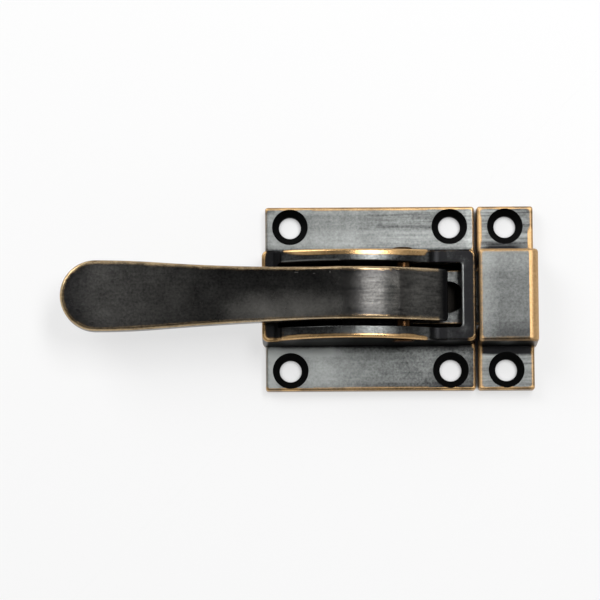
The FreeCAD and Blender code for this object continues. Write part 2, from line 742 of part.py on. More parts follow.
def lever_profile(body, latch):
    """The blade from the side: the paddle's sweep, the hump, a crease and a flat front."""
    sheet = latch.sheet
    hump = flat(sheet.hump_centre_x.value, latch.hump_centre_z.value)
    sweep = flat(sheet.paddle_saddle_x.value, latch.sweep_centre_z.value)
    tip_x = -sheet.lever_tip_reach.value
    end_x = sheet.lever_end_x.value
    thick = sheet.lever_thick.value
    slope = math.radians(sheet.lever_front_slope.value)
    toward_sweep = (sweep - hump).normalize()
    drawing = Drawing(body, "blade_profile", "XZ_Plane")
    start, end, centre = drawing.START, drawing.END, drawing.CENTRE

    def sweep_point(x, radius):
        return flat(x, sweep.y - math.sqrt(radius ** 2 - (x - sweep.x) ** 2))

    def side(hump_radius, sweep_radius, crease_radius):
        """One face of the blade, from the tip to the start of its front."""
        meet = hump + toward_sweep * hump_radius
        crease_angle = math.asin((sheet.lever_crease_x.value - hump.x) / latch.lever_hump_radius.value)
        outward = flat(math.sin(crease_angle), math.cos(crease_angle))
        crease_start = hump + outward * hump_radius
        crease = crease_start - outward * crease_radius
        crease_end = crease + flat(math.sin(slope), math.cos(slope)) * crease_radius
        sweep_arc = drawing.arc(sweep, sweep_radius, sweep_point(tip_x, sweep_radius), meet)
        hump_arc = drawing.arc(hump, hump_radius, crease_start, meet)
        crease_arc = drawing.arc(crease, crease_radius, crease_end, crease_start)
        drawing.smooth(sweep_arc, end, hump_arc, end)
        drawing.smooth(hump_arc, start, crease_arc, end)
        return sweep_arc, hump_arc, crease_arc, crease_end

    top_sweep, top_hump, top_crease, front_start = side(
        latch.lever_hump_radius.value, sheet.paddle_sweep_radius.value, sheet.lever_crease_radius.value
    )
    low_sweep, low_hump, low_crease, low_front_start = side(
        latch.lever_hump_radius.value - thick,
        sheet.paddle_sweep_radius.value + thick,
        sheet.lever_crease_radius.value - thick,
    )
    front_end = flat(end_x, front_start.y - (end_x - front_start.x) * math.tan(slope))
    lip_end = front_end - flat(0, sheet.lever_lip_thick.value)
    top_front = drawing.line(front_start, front_end)
    end_face = drawing.line(front_end, lip_end)
    low_front = drawing.line(lip_end, low_front_start)
    tip_top = sweep_point(tip_x, sheet.paddle_sweep_radius.value)
    tip_low = sweep_point(tip_x, sheet.paddle_sweep_radius.value + thick)
    tip_face = drawing.line(tip_low, tip_top)

    drawing.smooth(top_crease, start, top_front, start)
    drawing.join(top_front, end, end_face, start)
    drawing.join(end_face, end, low_front, start)
    drawing.join(low_front, end, low_crease, start)
    drawing.join(low_sweep, start, tip_face, start)
    drawing.join(tip_face, end, top_sweep, start)
    drawing.relate("Vertical", end_face)
    drawing.relate("Vertical", tip_face)

    drawing.put(top_hump, centre, sheet.hump_centre_x, latch.hump_centre_z)
    drawing.put(top_sweep, centre, x=sheet.paddle_saddle_x)
    drawing.relate("Coincident", low_hump, centre, top_hump, centre)
    drawing.relate("Coincident", low_sweep, centre, top_sweep, centre)
    drawing.relate("Coincident", low_crease, centre, top_crease, centre)
    drawing.measure("Radius", latch.lever_hump_radius, top_hump)
    drawing.measure("Radius", sheet.paddle_sweep_radius, top_sweep)
    drawing.measure("Radius", sheet.lever_crease_radius, top_crease)
    drawing.measure("Radius", latch.lever_hump_radius - sheet.lever_thick, low_hump)
    drawing.put(tip_face, start, x=-sheet.lever_tip_reach)
    drawing.put(end_face, start, x=sheet.lever_end_x)
    drawing.put(top_hump, start, x=sheet.lever_crease_x)
    drawing.measure("DistanceY", sheet.lever_lip_thick, end_face, end, end_face, start)
    row = drawing.relate("Angle", drawing.HORIZONTAL_AXIS, top_front, -slope)
    falling = f"(0 - {sheet.lever_front_slope.text}) * 1 deg"
    drawing.sketch.setExpression(f"Constraints[{row}]", falling)
    keep_under(drawing, low_crease, top_crease, start)
    return drawing


def keep_under(drawing, low_arc, top_arc, spot):
    """Keep the end of the lower arc on the line from the shared centre to the end of the upper one."""
    centre = drawing.CENTRE
    spoke = drawing.line(drawing.sketch.getPoint(top_arc, centre), drawing.sketch.getPoint(top_arc, spot))
    drawing.sketch.setConstruction(spoke, True)
    drawing.join(spoke, drawing.START, top_arc, centre)
    drawing.join(spoke, drawing.END, top_arc, spot)
    drawing.relate("PointOnObject", low_arc, spot, spoke)


def lever_plan(body, latch):
    """What is cut away round the blade seen from above: a round tip, full shoulders that turn into
    hollow flanks, and a straight neck."""
    sheet = latch.sheet
    half_width = sheet.lever_width / 2
    half_paddle = sheet.paddle_width / 2
    tip_x = -sheet.lever_tip_reach
    round_x = tip_x + half_paddle
    tip = flat(round_x.value, 0)
    run = sheet.lever_neck_x.value - tip.x
    drop = half_paddle.value - half_width.value
    shoulder_radius = sheet.paddle_shoulder_radius.value
    flank_radius = (run ** 2 + drop ** 2) / (2 * drop) - shoulder_radius

    drawing = Drawing(body, "blade_plan", "XY_Plane")
    start, end, centre = drawing.START, drawing.END, drawing.CENTRE
    crown = flat(tip.x, half_paddle.value)
    shoulder = crown - flat(0, shoulder_radius)
    neck = flat(sheet.lever_neck_x.value, half_width.value)
    flank = neck + flat(0, flank_radius)
    touch = shoulder + (flank - shoulder).normalize() * shoulder_radius
    mirror = {name: flat(point.x, -point.y) for name, point in (
        ("crown", crown), ("shoulder", shoulder), ("neck", neck), ("flank", flank), ("touch", touch)
    )}
    end_top = flat(sheet.lever_end_x.value, half_width.value)
    end_low = flat(end_top.x, -end_top.y)

    tip_arc = drawing.arc(tip, half_paddle.value, crown, mirror["crown"])
    upper_shoulder = drawing.arc(shoulder, shoulder_radius, touch, crown)
    upper_flank = drawing.arc(flank, flank_radius, touch, neck)
    upper_neck = drawing.line(neck, end_top)
    end_side = drawing.line(end_top, end_low)
    lower_neck = drawing.line(end_low, mirror["neck"])
    lower_flank = drawing.arc(mirror["flank"], flank_radius, mirror["neck"], mirror["touch"])
    lower_shoulder = drawing.arc(mirror["shoulder"], shoulder_radius, mirror["crown"], mirror["touch"])
    drawing.smooth(tip_arc, start, upper_shoulder, end)
    drawing.smooth(upper_shoulder, start, upper_flank, start)
    drawing.smooth(upper_flank, end, upper_neck, start)
    drawing.join(upper_neck, end, end_side, start)
    drawing.join(end_side, end, lower_neck, start)
    drawing.smooth(lower_neck, end, lower_flank, start)
    drawing.smooth(lower_flank, end, lower_shoulder, end)
    drawing.smooth(lower_shoulder, start, tip_arc, end)
    drawing.put(tip_arc, centre, round_x, 0)
    drawing.measure("Radius", half_paddle, tip_arc)
    for arc in (upper_shoulder, lower_shoulder):
        drawing.put(arc, centre, round_x)
        drawing.measure("Radius", sheet.paddle_shoulder_radius, arc)
    drawing.put(upper_neck, start, sheet.lever_neck_x, half_width)
    drawing.put(upper_neck, end, sheet.lever_end_x, half_width)
    drawing.put(lower_neck, start, sheet.lever_end_x, -half_width)
    drawing.put(lower_neck, end, sheet.lever_neck_x, -half_width)

    far = half_paddle + CUT_MARGIN
    drawing.rectangle(tip_x - CUT_MARGIN, sheet.lever_end_x + CUT_MARGIN, -far, far)
    return drawing


def make_bolt(doc, latch):
    """The spring bolt: a bar with a bevelled tip, a slot for the nose, a guided tail and a stem."""
    sheet = latch.sheet
    body = new_body(doc, "latch_bolt")
    half_width = sheet.bolt_width / 2
    half_tail = sheet.slot_width / 2 - sheet.bolt_slide_clearance
    tail_end = sheet.bolt_tail_x + sheet.bolt_tail_length
    level = Drawing(body, "bar_outline", "XY_Plane", at=(0, 0, latch.bolt_bottom))
    level.polygon([
        (sheet.bolt_tail_x, -half_tail),
        (tail_end, -half_tail),
        (tail_end, -half_width),
        (latch.bolt_tip, -half_width),
        (latch.bolt_tip, half_width),
        (tail_end, half_width),
        (tail_end, half_tail),
        (sheet.bolt_tail_x, half_tail),
    ])
    add(body, "Pad", "bar", level, Length=sheet.bolt_thick)

    bevel = Drawing(body, "bevel_outline", "XZ_Plane")
    bevel.polygon([
        (latch.bolt_tip - sheet.bolt_bevel_length, latch.bolt_bottom),
        (latch.bolt_tip + CUT_MARGIN, latch.bolt_bottom - CUT_MARGIN),
        (latch.bolt_tip + CUT_MARGIN, latch.bolt_top - sheet.bolt_tip_flat),
        (latch.bolt_tip, latch.bolt_top - sheet.bolt_tip_flat),
    ])
    cut(body, "Pocket", "bevel", bevel, Type="ThroughAll", Midplane=True)

    def tip_edge(edge):
        return lies_at(edge, "x", latch.bolt_tip.value) and spans(edge, "y") > half_width.value

    soften(body, "Fillet", "tip_edges", tip_edge, "Radius", sheet.bolt_edge_radius)

    def long_edge(edge):
        at_side = near(abs(edge.BoundBox.Center.y), half_width.value)
        at_top = near(edge.BoundBox.ZMin, latch.bolt_top.value)
        return at_side and at_top and spans(edge, "x") > half_width.value

    soften(body, "Fillet", "long_edges", long_edge, "Radius", sheet.bolt_edge_radius)

    slot_radius = sheet.bolt_slot_width / 2
    nose_left = sheet.pivot_x + sheet.nose_offset_x - sheet.nose_thick / 2
    slot_start = nose_left - sheet.bolt_nose_play + leg(slot_radius, sheet.nose_width / 2)
    slot = Drawing(body, "nose_slot_outline", "XY_Plane")
    centres = [flat(x.value, 0) for x in (slot_start, sheet.bolt_slot_end_x)]
    up = flat(0, slot_radius.value)
    left_arc = slot.arc(centres[0], slot_radius.value, centres[0] + up, centres[0] - up)
    right_arc = slot.arc(centres[1], slot_radius.value, centres[1] - up, centres[1] + up)
    lower = slot.line(centres[0] - up, centres[1] - up)
    upper = slot.line(centres[1] + up, centres[0] + up)
    slot.smooth(left_arc, slot.END, lower, slot.START)
    slot.smooth(lower, slot.END, right_arc, slot.START)
    slot.smooth(right_arc, slot.END, upper, slot.START)
    slot.smooth(upper, slot.END, left_arc, slot.START)
    slot.put(left_arc, slot.CENTRE, slot_start, 0)
    slot.put(right_arc, slot.CENTRE, sheet.bolt_slot_end_x, 0)
    slot.measure("Radius", slot_radius, left_arc)
    cut(body, "Pocket", "nose_slot", slot, Type="ThroughAll", Midplane=True)

    stem_start = sheet.bolt_tail_x - sheet.stem_length
    stem = Drawing(body, "stem_outline", "YZ_Plane", at=(0, 0, stem_start))
    stem.circle(0, latch.bolt_middle, sheet.stem_diameter)
    add(body, "Pad", "stem", stem, Length=sheet.stem_length)

    def stem_end(edge):
        return lies_at(edge, "x", stem_start.value)

    soften(body, "Chamfer", "stem_end", stem_end, "Size", sheet.bolt_edge_radius)
    return body


def make_spring(doc, latch):
    """The compression spring round the bolt's stem, between the tail and the end wall of the case."""
    sheet = latch.sheet
    body = new_body(doc, "bolt_spring")
    first = latch.spring_left + sheet.spring_seat_clearance + sheet.spring_wire_diameter / 2
    last = sheet.bolt_tail_x - sheet.spring_seat_clearance - sheet.spring_wire_diameter / 2
    coil_radius = (sheet.spring_outer_diameter - sheet.spring_wire_diameter) / 2
    wire = Drawing(body, "wire_outline", "XZ_Plane", at=(first, latch.bolt_middle, 0))
    wire.circle(0, coil_radius, sheet.spring_wire_diameter)
    axis = (wire.sketch, ["H_Axis"])
    coil = add(body, "AdditiveHelix", "coil", wire, ReferenceAxis=axis, Mode="height-turns-angle")
    bind(coil, "Height", last - first)
    bind(coil, "Turns", sheet.spring_turns)
    return body


def make_cover(doc, latch):
    """The sheet cover that closes the back of the housing and carries the bolt."""
    sheet = latch.sheet
    body = new_body(doc, "back_cover")
    outline = Drawing(body, "cover_outline", "XY_Plane")
    outline.rectangle(latch.cover_left, latch.right_end, -latch.cover_half, latch.cover_half)
    add(body, "Pad", "cover", outline, Length=sheet.cover_thick)
    holes = Drawing(body, "cover_holes_outline", "XY_Plane")
    for x, y in latch.rivet_places():
        holes.circle(x, y, sheet.rivet_diameter + sheet.rivet_clearance * 2)
    cut(body, "Pocket", "cover_holes", holes, Type="ThroughAll", Midplane=True)
    return body


def make_rivets(doc, latch):
    """Four flush drive rivets that hold the cover to the cheeks."""
    sheet = latch.sheet
    rivets = []
    for row, (x, y) in enumerate(latch.rivet_places(), start=1):
        rivet = doc.addObject("Part::Cylinder", f"rivet_{row}")
        bind(rivet, "Radius", sheet.rivet_diameter / 2)
        bind(rivet, "Height", sheet.rivet_length)
        bind(rivet, "Placement.Base.x", x)
        bind(rivet, "Placement.Base.y", y)
        rivets.append(rivet)
    group = doc.addObject("Part::Compound", "cover_rivets")
    group.Label = "cover_rivets"
    group.Links = rivets
    return group


def make_strike(doc, latch):
    """The strike: a narrow plate with two countersunk holes and a raised box that takes the bolt."""
    sheet = latch.sheet
    body = new_body(doc, "strike")
    bind(body, "Placement.Base.x", latch.strike_left)
    half_base = sheet.strike_box_base_width / 2
    half_top = half_base - sheet.strike_box_height * tangent(sheet.strike_box_draft)
    section = Drawing(body, "box_section", "YZ_Plane")
    section.polygon([
        (-half_base, 0),
        (half_base, 0),
        (half_top, sheet.strike_box_height),
        (-half_top, sheet.strike_box_height),
    ])
    box_length = sheet.strike_width + sheet.strike_box_overhang
    add(body, "Pad", "box", section, Length=box_length)

    def box_end(edge):
        at_top = lies_at(edge, "z", sheet.strike_box_height.value)
        return at_top and lies_at(edge, "x", box_length.value)

    soften(body, "Fillet", "box_end", box_end, "Radius", sheet.strike_box_end_radius)
    rounded = body.Tip.Shape

    def box_rim(edge):
        """An edge where a side of the box meets its roof or its far end."""
        across, along = 0.9, 0.1
        if near(edge.BoundBox.XMax, 0) or near(edge.BoundBox.ZMax, 0):
            return False
        leans = sorted(abs(face.normalAt(*middle_of(face)).y) for face in edge_faces(rounded, edge))
        return len(leans) == 2 and leans[0] < along and leans[1] > across

    soften(body, "Fillet", "box_rim", box_rim, "Radius", sheet.strike_box_rim_radius)

    def box_mouth(edge):
        return lies_at(edge, "x", 0) and not near(edge.BoundBox.ZMax, 0)

    soften(body, "Fillet", "box_mouth", box_mouth, "Radius", sheet.strike_mouth_radius)

    half_width = sheet.plate_width / 2
    outline = Drawing(body, "strike_outline", "XY_Plane")
    outline.rectangle(0, sheet.strike_width, -half_width, half_width)
    add(body, "Pad", "strike_plate", outline, Length=sheet.plate_thick)

    def plate_corner(edge):
        box = edge.BoundBox
        upright = near(box.ZLength, sheet.plate_thick.value) and near(box.XLength, 0)
        return upright and near(abs(box.Center.y), half_width.value)

    soften(body, "Fillet", "strike_corners", plate_corner, "Radius", sheet.plate_corner_radius)

    def plate_edge(edge):
        return lies_at(edge, "z", sheet.plate_thick.value) and abs(edge.BoundBox.Center.y) > half_base.value

    soften(body, "Fillet", "strike_edges", plate_edge, "Radius", sheet.plate_edge_radius)
    middle = sheet.strike_width / 2
    add_screw_holes(body, sheet, [(middle, -latch.screw_across), (middle, latch.screw_across)])

    half_keep = sheet.bolt_width / 2 + sheet.strike_side_clearance
    keep_top = sheet.strike_box_height - sheet.strike_roof_thick
    keep = Drawing(body, "keep_outline", "YZ_Plane")
    keep.rectangle(-half_keep, half_keep, -as_size(CUT_MARGIN), keep_top)
    cut(body, "Pocket", "keep", keep, Length=sheet.strike_width - sheet.strike_end_wall, Reversed=True)
    return body


def check(doc, pieces):
    """Stop if a feature failed or a piece has no sound solid."""
    for item in doc.Objects:
        if "Invalid" in item.State or "Error" in item.State:
            raise RuntimeError(f"{item.Name} failed: {item.State}")
    for piece in pieces:
        if piece.Shape.isNull() or not piece.Shape.isValid() or not piece.Shape.Solids:
            raise RuntimeError(f"{piece.Label} has no valid solid")


def main():
    doc = FreeCAD.newDocument("CupboardLatch")
    latch = Latch(fill_sheet(doc))
    makers = [
        make_case, make_pin, make_lever, make_bolt, make_spring, make_cover, make_rivets, make_strike,
    ]
    pieces = [maker(doc, latch) for maker in makers]
    doc.recompute()
    check(doc, pieces)
    os.makedirs("parts", exist_ok=True)
    for piece in pieces:
        piece.Shape.exportStep(f"parts/{piece.Label}.step")
        box = piece.Shape.BoundBox
        print(f"{piece.Label}: {len(piece.Shape.Solids)} solid, {piece.Shape.Volume:.1f} mm3, {box}")


main()
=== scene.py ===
"""Looks of the cupboard catch latch: cast brass under a dark patina, rubbed to gold on its edges.

Everything is in the frame of the CAD model: the back of the case lies on the floor at z = 0, +X
points from the paddle to the strike and +Z away from the door. Blender works in metres, and the
lengths that are written out here are in millimetres.
"""
import json
import logging
import math
from dataclasses import dataclass, field
from enum import Enum
from typing import Any, Dict, List, Optional, Tuple, Union

import bmesh
import bpy
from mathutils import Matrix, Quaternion, Vector


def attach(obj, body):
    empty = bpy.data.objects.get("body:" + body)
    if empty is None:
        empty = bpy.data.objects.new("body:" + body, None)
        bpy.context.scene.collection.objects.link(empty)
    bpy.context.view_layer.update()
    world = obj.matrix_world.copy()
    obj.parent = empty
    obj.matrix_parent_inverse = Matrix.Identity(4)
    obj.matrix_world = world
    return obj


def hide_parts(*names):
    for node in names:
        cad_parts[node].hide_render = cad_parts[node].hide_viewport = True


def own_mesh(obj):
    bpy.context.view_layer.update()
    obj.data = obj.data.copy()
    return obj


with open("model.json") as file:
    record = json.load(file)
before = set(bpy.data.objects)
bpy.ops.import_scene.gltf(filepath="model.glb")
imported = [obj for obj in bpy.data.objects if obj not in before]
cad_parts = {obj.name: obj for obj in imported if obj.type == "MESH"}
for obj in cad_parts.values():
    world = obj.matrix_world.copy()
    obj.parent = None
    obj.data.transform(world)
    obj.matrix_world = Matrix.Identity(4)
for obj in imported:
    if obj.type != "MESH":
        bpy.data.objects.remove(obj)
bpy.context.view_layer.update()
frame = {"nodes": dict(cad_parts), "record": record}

# Rays of the ambient occlusion that finds corners and rims, and of the one that finds worn edges
CORNER_RAYS = 12
EDGE_RAYS = 16
# A surface counts as a wall below the first height of its normal, and as a top above the second
WALL_LIFT = 0.25
TOP_LIFT = 0.6
# Sockets of a colour Mix node, whose names are not unique
MIX_FACTOR, MIX_A, MIX_B, MIX_RESULT = 0, 6, 7, 2

Pair = Tuple[float, float]
Triple = Tuple[float, float, float]
Tree = bpy.types.NodeTree
Node = bpy.types.Node
Socket = bpy.types.NodeSocket
Inputs = Dict[Union[str, int], Any]
Value = Union[float, Node, Socket]

log = logging.getLogger("latch")


class Body(Enum):
    """The bodies of the CAD model that a piece can ride on."""

    CASE = "case"
    LEVER = "lever"
    BOLT = "bolt"


class Slot(Enum):
    """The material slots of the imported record."""

    CASE = "case_brass"
    COVER = "cover_brass"
    PIN = "pin_brass"
    LEVER = "lever_brass"
    BOLT = "bolt_brass"
    SPRING = "spring_steel"


class Facing(Enum):
    """Which way a surface has to face to count in a zone."""

    ANY = "any"
    UP = "up"
    SIDE = "side"


def mm(length: float) -> float:
    """Turn millimetres into metres."""
    return length * 0.001


def mm3(place: Triple) -> Triple:
    """Turn a place in millimetres into metres."""
    return tuple(mm(part) for part in place)


def per_mm(size: float) -> float:
    """Give the texture scale at which a pattern repeats about every size millimetres."""
    return 1.0 / mm(size)


def linear(colour: str) -> Tuple[float, float, float, float]:
    """Turn an sRGB hex colour into linear RGBA.

    Args:
        colour: The colour as "#rrggbb".

    Returns:
        The linear red, green, blue and an alpha of 1.
    """
    parts = [int(colour[row:row + 2], 16) / 255 for row in (1, 3, 5)]
    light = [part / 12.92 if part <= 0.04045 else ((part + 0.055) / 1.055) ** 2.4
             for part in parts]
    return (*light, 1.0)


def feed(tree: Tree, node: Node, inputs: Inputs) -> None:
    """Set or link a node's inputs.

    Args:
        tree: The tree that the node is in.
        node: The node.
        inputs: Values, nodes or output sockets by input name or number. A node gives its first
            output.
    """
    for key, given in inputs.items():
        if isinstance(given, Node):
            given = given.outputs[0]
        if isinstance(given, Socket):
            tree.links.new(given, node.inputs[key])
        else:
            node.inputs[key].default_value = given


def add_node(tree: Tree, kind: str, inputs: Optional[Inputs] = None, **settings: Any) -> Node:
    """Add a node to a tree with its settings, values and links.

    Args:
        tree: The shader or geometry tree.
        kind: The node's type name.
        inputs: What the inputs are fed with.
        settings: Properties of the node itself.

    Returns:
        The new node.
    """
    node = tree.nodes.new(kind)
    for name, setting in settings.items():
        setattr(node, name, setting)
    feed(tree, node, inputs or {})
    return node


def weighted_sum(tree: Tree, start: Value, terms: List[Tuple[Value, float]]) -> Value:
    """Add weighted terms to a starting value.

    Args:
        tree: The shader tree.
        start: The value or output to start from.
        terms: Outputs with the weight that each is added with.

    Returns:
        The output or value of the sum.
    """
    for output, weight in terms:
        start = add_node(tree, "ShaderNodeMath", {0: output, 1: weight, 2: start},
                         operation="MULTIPLY_ADD").outputs[0]
    return start


def new_material(name: str) -> Tuple[bpy.types.Material, Tree, Node, Socket]:
    """Make a material with a Principled shader.

    Args:
        name: The name of the real material.

    Returns:
        The material, its tree, its shader and the object coordinates.
    """
    made = bpy.data.materials.new(name)
    made.use_nodes = True
    tree = made.node_tree
    place = add_node(tree, "ShaderNodeTexCoord").outputs["Object"]
    return made, tree, tree.nodes["Principled BSDF"], place


@dataclass(frozen=True)
class Zone:
    """A soft-edged box in a piece's own space where the surface is worn another way, and some boxes
    hold painted light and shade.

    The tone is added to the lightness there, patina in some boxes and painted light and shade in
    others, the rub to how far the edges are worn and the lines to how strongly brush lines show,
    and the polish is taken off the roughness. A zone can be kept to tops or to walls, which the
    mesh's lift, the height of its normals, tells apart.
    """

    low: Triple
    high: Triple
    fade: Triple
    tone: float = 0.0
    rub: float = 0.0
    lines: float = 0.0
    polish: float = 0.0
    facing: Facing = Facing.ANY

    def mask(self, tree: Tree, place: Socket) -> Socket:
        """Add the nodes that are 1 inside the box and fall to 0 over the fade.

        Args:
            tree: The shader tree.
            place: The object coordinates.

        Returns:
            The mask's output.
        """
        middle = mm3(tuple((a + b) / 2 for a, b in zip(self.low, self.high)))
        half = mm3(tuple((b - a) / 2 for a, b in zip(self.low, self.high)))
        offset = add_node(tree, "ShaderNodeVectorMath", {0: place, 1: middle},
                          operation="SUBTRACT")
        away = add_node(tree, "ShaderNodeVectorMath", {0: offset}, operation="ABSOLUTE")
        past = add_node(tree, "ShaderNodeVectorMath", {0: away, 1: half}, operation="SUBTRACT")
        outside = add_node(tree, "ShaderNodeVectorMath", {0: past}, operation="MAXIMUM")
        share = add_node(tree, "ShaderNodeVectorMath", {0: outside, 1: mm3(self.fade)},
                         operation="DIVIDE")
        distance = add_node(tree, "ShaderNodeVectorMath", {0: share}, operation="LENGTH")
        inside = add_node(tree, "ShaderNodeMapRange",
                          {"Value": distance.outputs["Value"], "To Min": 1.0, "To Max": 0.0},
                          interpolation_type="SMOOTHSTEP").outputs["Result"]
        if self.facing is Facing.ANY:
            return inside
        lift = add_node(tree, "ShaderNodeAttribute", attribute_name="lift").outputs["Fac"]
        wall, top = (0.0, 1.0) if self.facing is Facing.UP else (1.0, 0.0)
        turned = add_node(tree, "ShaderNodeMapRange",
                          {"Value": lift, "From Min": WALL_LIFT, "From Max": TOP_LIFT,
                           "To Min": wall, "To Max": top})
        return add_node(tree, "ShaderNodeMath", {0: inside, 1: turned},
                        operation="MULTIPLY").outputs[0]


Masks = List[Tuple[Zone, Socket]]


@dataclass(frozen=True)
class Grain:
    """A noise in a finish. A stretch below 1 along an axis draws its spots out that way."""

    size: float
    detail: float
    rough: float
    stretch: Triple = (1.0, 1.0, 1.0)


@dataclass(frozen=True)
class PatinatedBrass:
    """Cast brass, chemically darkened and then rubbed: black oxide with bare gold on the edges.

    The eye gets a dark satin metal that mirrors the lamp softly, faint brush lines along the part,
    small casting pits, painted shade in the corners, and warm bright lines where handling took it
    off; some zones paint in highlights and shade as well. The tone runs from 0, the dark colour, to
    1, the light one.
    """

    name: str
    dark: str = "#1a1a1b"
    light: str = "#9c9f9d"
    brown: str = "#6b5232"
    gold_deep: str = "#a67c46"
    gold_bright: str = "#ecca96"
    # The oxide's tone, and how much clouds, lines, specks, the painted shade in corners, and rims
    # change it
    tone: float = 0.22
    cloud: float = 0.44
    brush: float = 0.3
    speckle: float = 0.7
    corner_shade: float = 0.4
    corner_shade_width: float = 1.6
    rim_shade: float = 0.5
    rim_width: float = 2.4
    # From this tone down to 0 the changes fade to this share of themselves
    even_tone: float = 0.25
    even_share: float = 0.2
    # How wide an edge is worn, where the wear starts and is full, and what makes it uneven
    wear_width: float = 0.9
    wear_start: float = 0.1
    wear_full: float = 0.27
    cloud_wear: float = 0.12
    brush_wear: float = 0.1
    pit_wear: float = 0.04
    film_reach: float = 0.06
    film_cover: float = 0.85
    roughness: float = 0.37
    gold_roughness: float = 0.3
    cloud_gloss: float = 0.12
    pit_depth: float = 0.012
    brush_relief: float = 0.8
    bump_strength: float = 0.5
    # Clouds of oxide, casting pits, and brush lines along X, drawn coarser than real grit to show
    cloud_grain: Grain = Grain(4.0, 4.0, 0.6)
    pit_grain: Grain = Grain(0.45, 3.0, 0.7)
    brush_grain: Grain = Grain(0.55, 3.0, 0.55, (0.06, 1.0, 0.6))
    zones: Tuple[Zone, ...] = ()

    def swings(self, tree: Tree, place: Socket) -> List[Socket]:
        """Add the finish's noises, each swinging round zero from about -0.5 to 0.5.

        Args:
            tree: The shader tree.
            place: The object coordinates.

        Returns:
            The outputs of the clouds, the pits and the brush lines.
        """
        outputs = []
        for grain in (self.cloud_grain, self.pit_grain, self.brush_grain):
            drawn = add_node(tree, "ShaderNodeMapping", {"Vector": place, "Scale": grain.stretch})
            noise = add_node(tree, "ShaderNodeTexNoise",
                             {"Vector": drawn, "Scale": per_mm(grain.size),
                              "Detail": grain.detail, "Roughness": grain.rough})
            centred = add_node(tree, "ShaderNodeMath", {0: noise, 1: 0.5}, operation="SUBTRACT")
            outputs.append(centred.outputs[0])
        return outputs

    def patina(self, tree: Tree, swings: List[Socket], masks: Masks) -> Socket:
        """Add the nodes for the colour of the oxide.

        Args:
            tree: The shader tree.
            swings: The outputs of the noises.
            masks: The zones with their masks.

        Returns:
            The colour's output.
        """
        cloud, pits, brush = swings
        # Corners and the feet of walls are painted darker, as the shade that falls there
        open_air = add_node(tree, "ShaderNodeAmbientOcclusion",
                            {"Distance": mm(self.corner_shade_width)},
                            only_local=True, samples=CORNER_RAYS).outputs["AO"]
        # Next to convex edges, and over thin walls, the tone is darker
        inner = add_node(tree, "ShaderNodeAmbientOcclusion", {"Distance": mm(self.rim_width)},
                         inside=True, only_local=True, samples=CORNER_RAYS).outputs["AO"]
        terms = [(open_air, self.corner_shade), (inner, self.rim_shade)]
        terms += [(mask, zone.tone) for zone, mask in masks if zone.tone]
        base = weighted_sum(tree, self.tone - self.corner_shade - self.rim_shade, terms)
        terms = [(cloud, self.cloud), (brush, self.brush), (pits, self.speckle)]
        for zone, mask in masks:
            if zone.lines:
                scratched = add_node(tree, "ShaderNodeMath", {0: mask, 1: brush},
                                     operation="MULTIPLY")
                terms.append((scratched, zone.lines))
        mottle = weighted_sum(tree, 0.0, terms)
        # Where the oxide is blackest it is also the most even
        strength = add_node(tree, "ShaderNodeMapRange",
                            {"Value": base, "From Max": self.even_tone, "To Min": self.even_share})
        tone = add_node(tree, "ShaderNodeMath", {0: mottle, 1: strength, 2: base},
                        operation="MULTIPLY_ADD")
        tone = add_node(tree, "ShaderNodeClamp", {"Value": tone})
        return add_node(tree, "ShaderNodeMix",
                        {MIX_FACTOR: tone, MIX_A: linear(self.dark), MIX_B: linear(self.light)},
                        data_type="RGBA").outputs[MIX_RESULT]

    def exposure(self, tree: Tree, swings: List[Socket], masks: Masks) -> Socket:
        """Add the nodes that tell how much each spot is handled.

        Rays sent inwards from a convex edge meet the next face within the width of the worn band.

        Args:
            tree: The shader tree.
            swings: The outputs of the noises.
            masks: The zones with their masks.

        Returns:
            The exposure's output.
        """
        cloud, pits, brush = swings
        inside = add_node(tree, "ShaderNodeAmbientOcclusion", {"Distance": mm(self.wear_width)},
                          inside=True, only_local=True, samples=EDGE_RAYS).outputs["AO"]
        bare = add_node(tree, "ShaderNodeMath", {0: 1.0, 1: inside}, operation="SUBTRACT")
        terms = [(cloud, self.cloud_wear), (brush, self.brush_wear), (pits, self.pit_wear)]
        terms += [(mask, zone.rub) for zone, mask in masks if zone.rub]
        return weighted_sum(tree, bare.outputs[0], terms)

    def material(self) -> bpy.types.Material:
        """Build the material.

        Returns:
            The finished material.
        """
        made, tree, shader, place = new_material(self.name)
        masks = [(zone, zone.mask(tree, place)) for zone in self.zones]
        swings = self.swings(tree, place)
        cloud, pits, brush = swings
        exposed = self.exposure(tree, swings, masks)
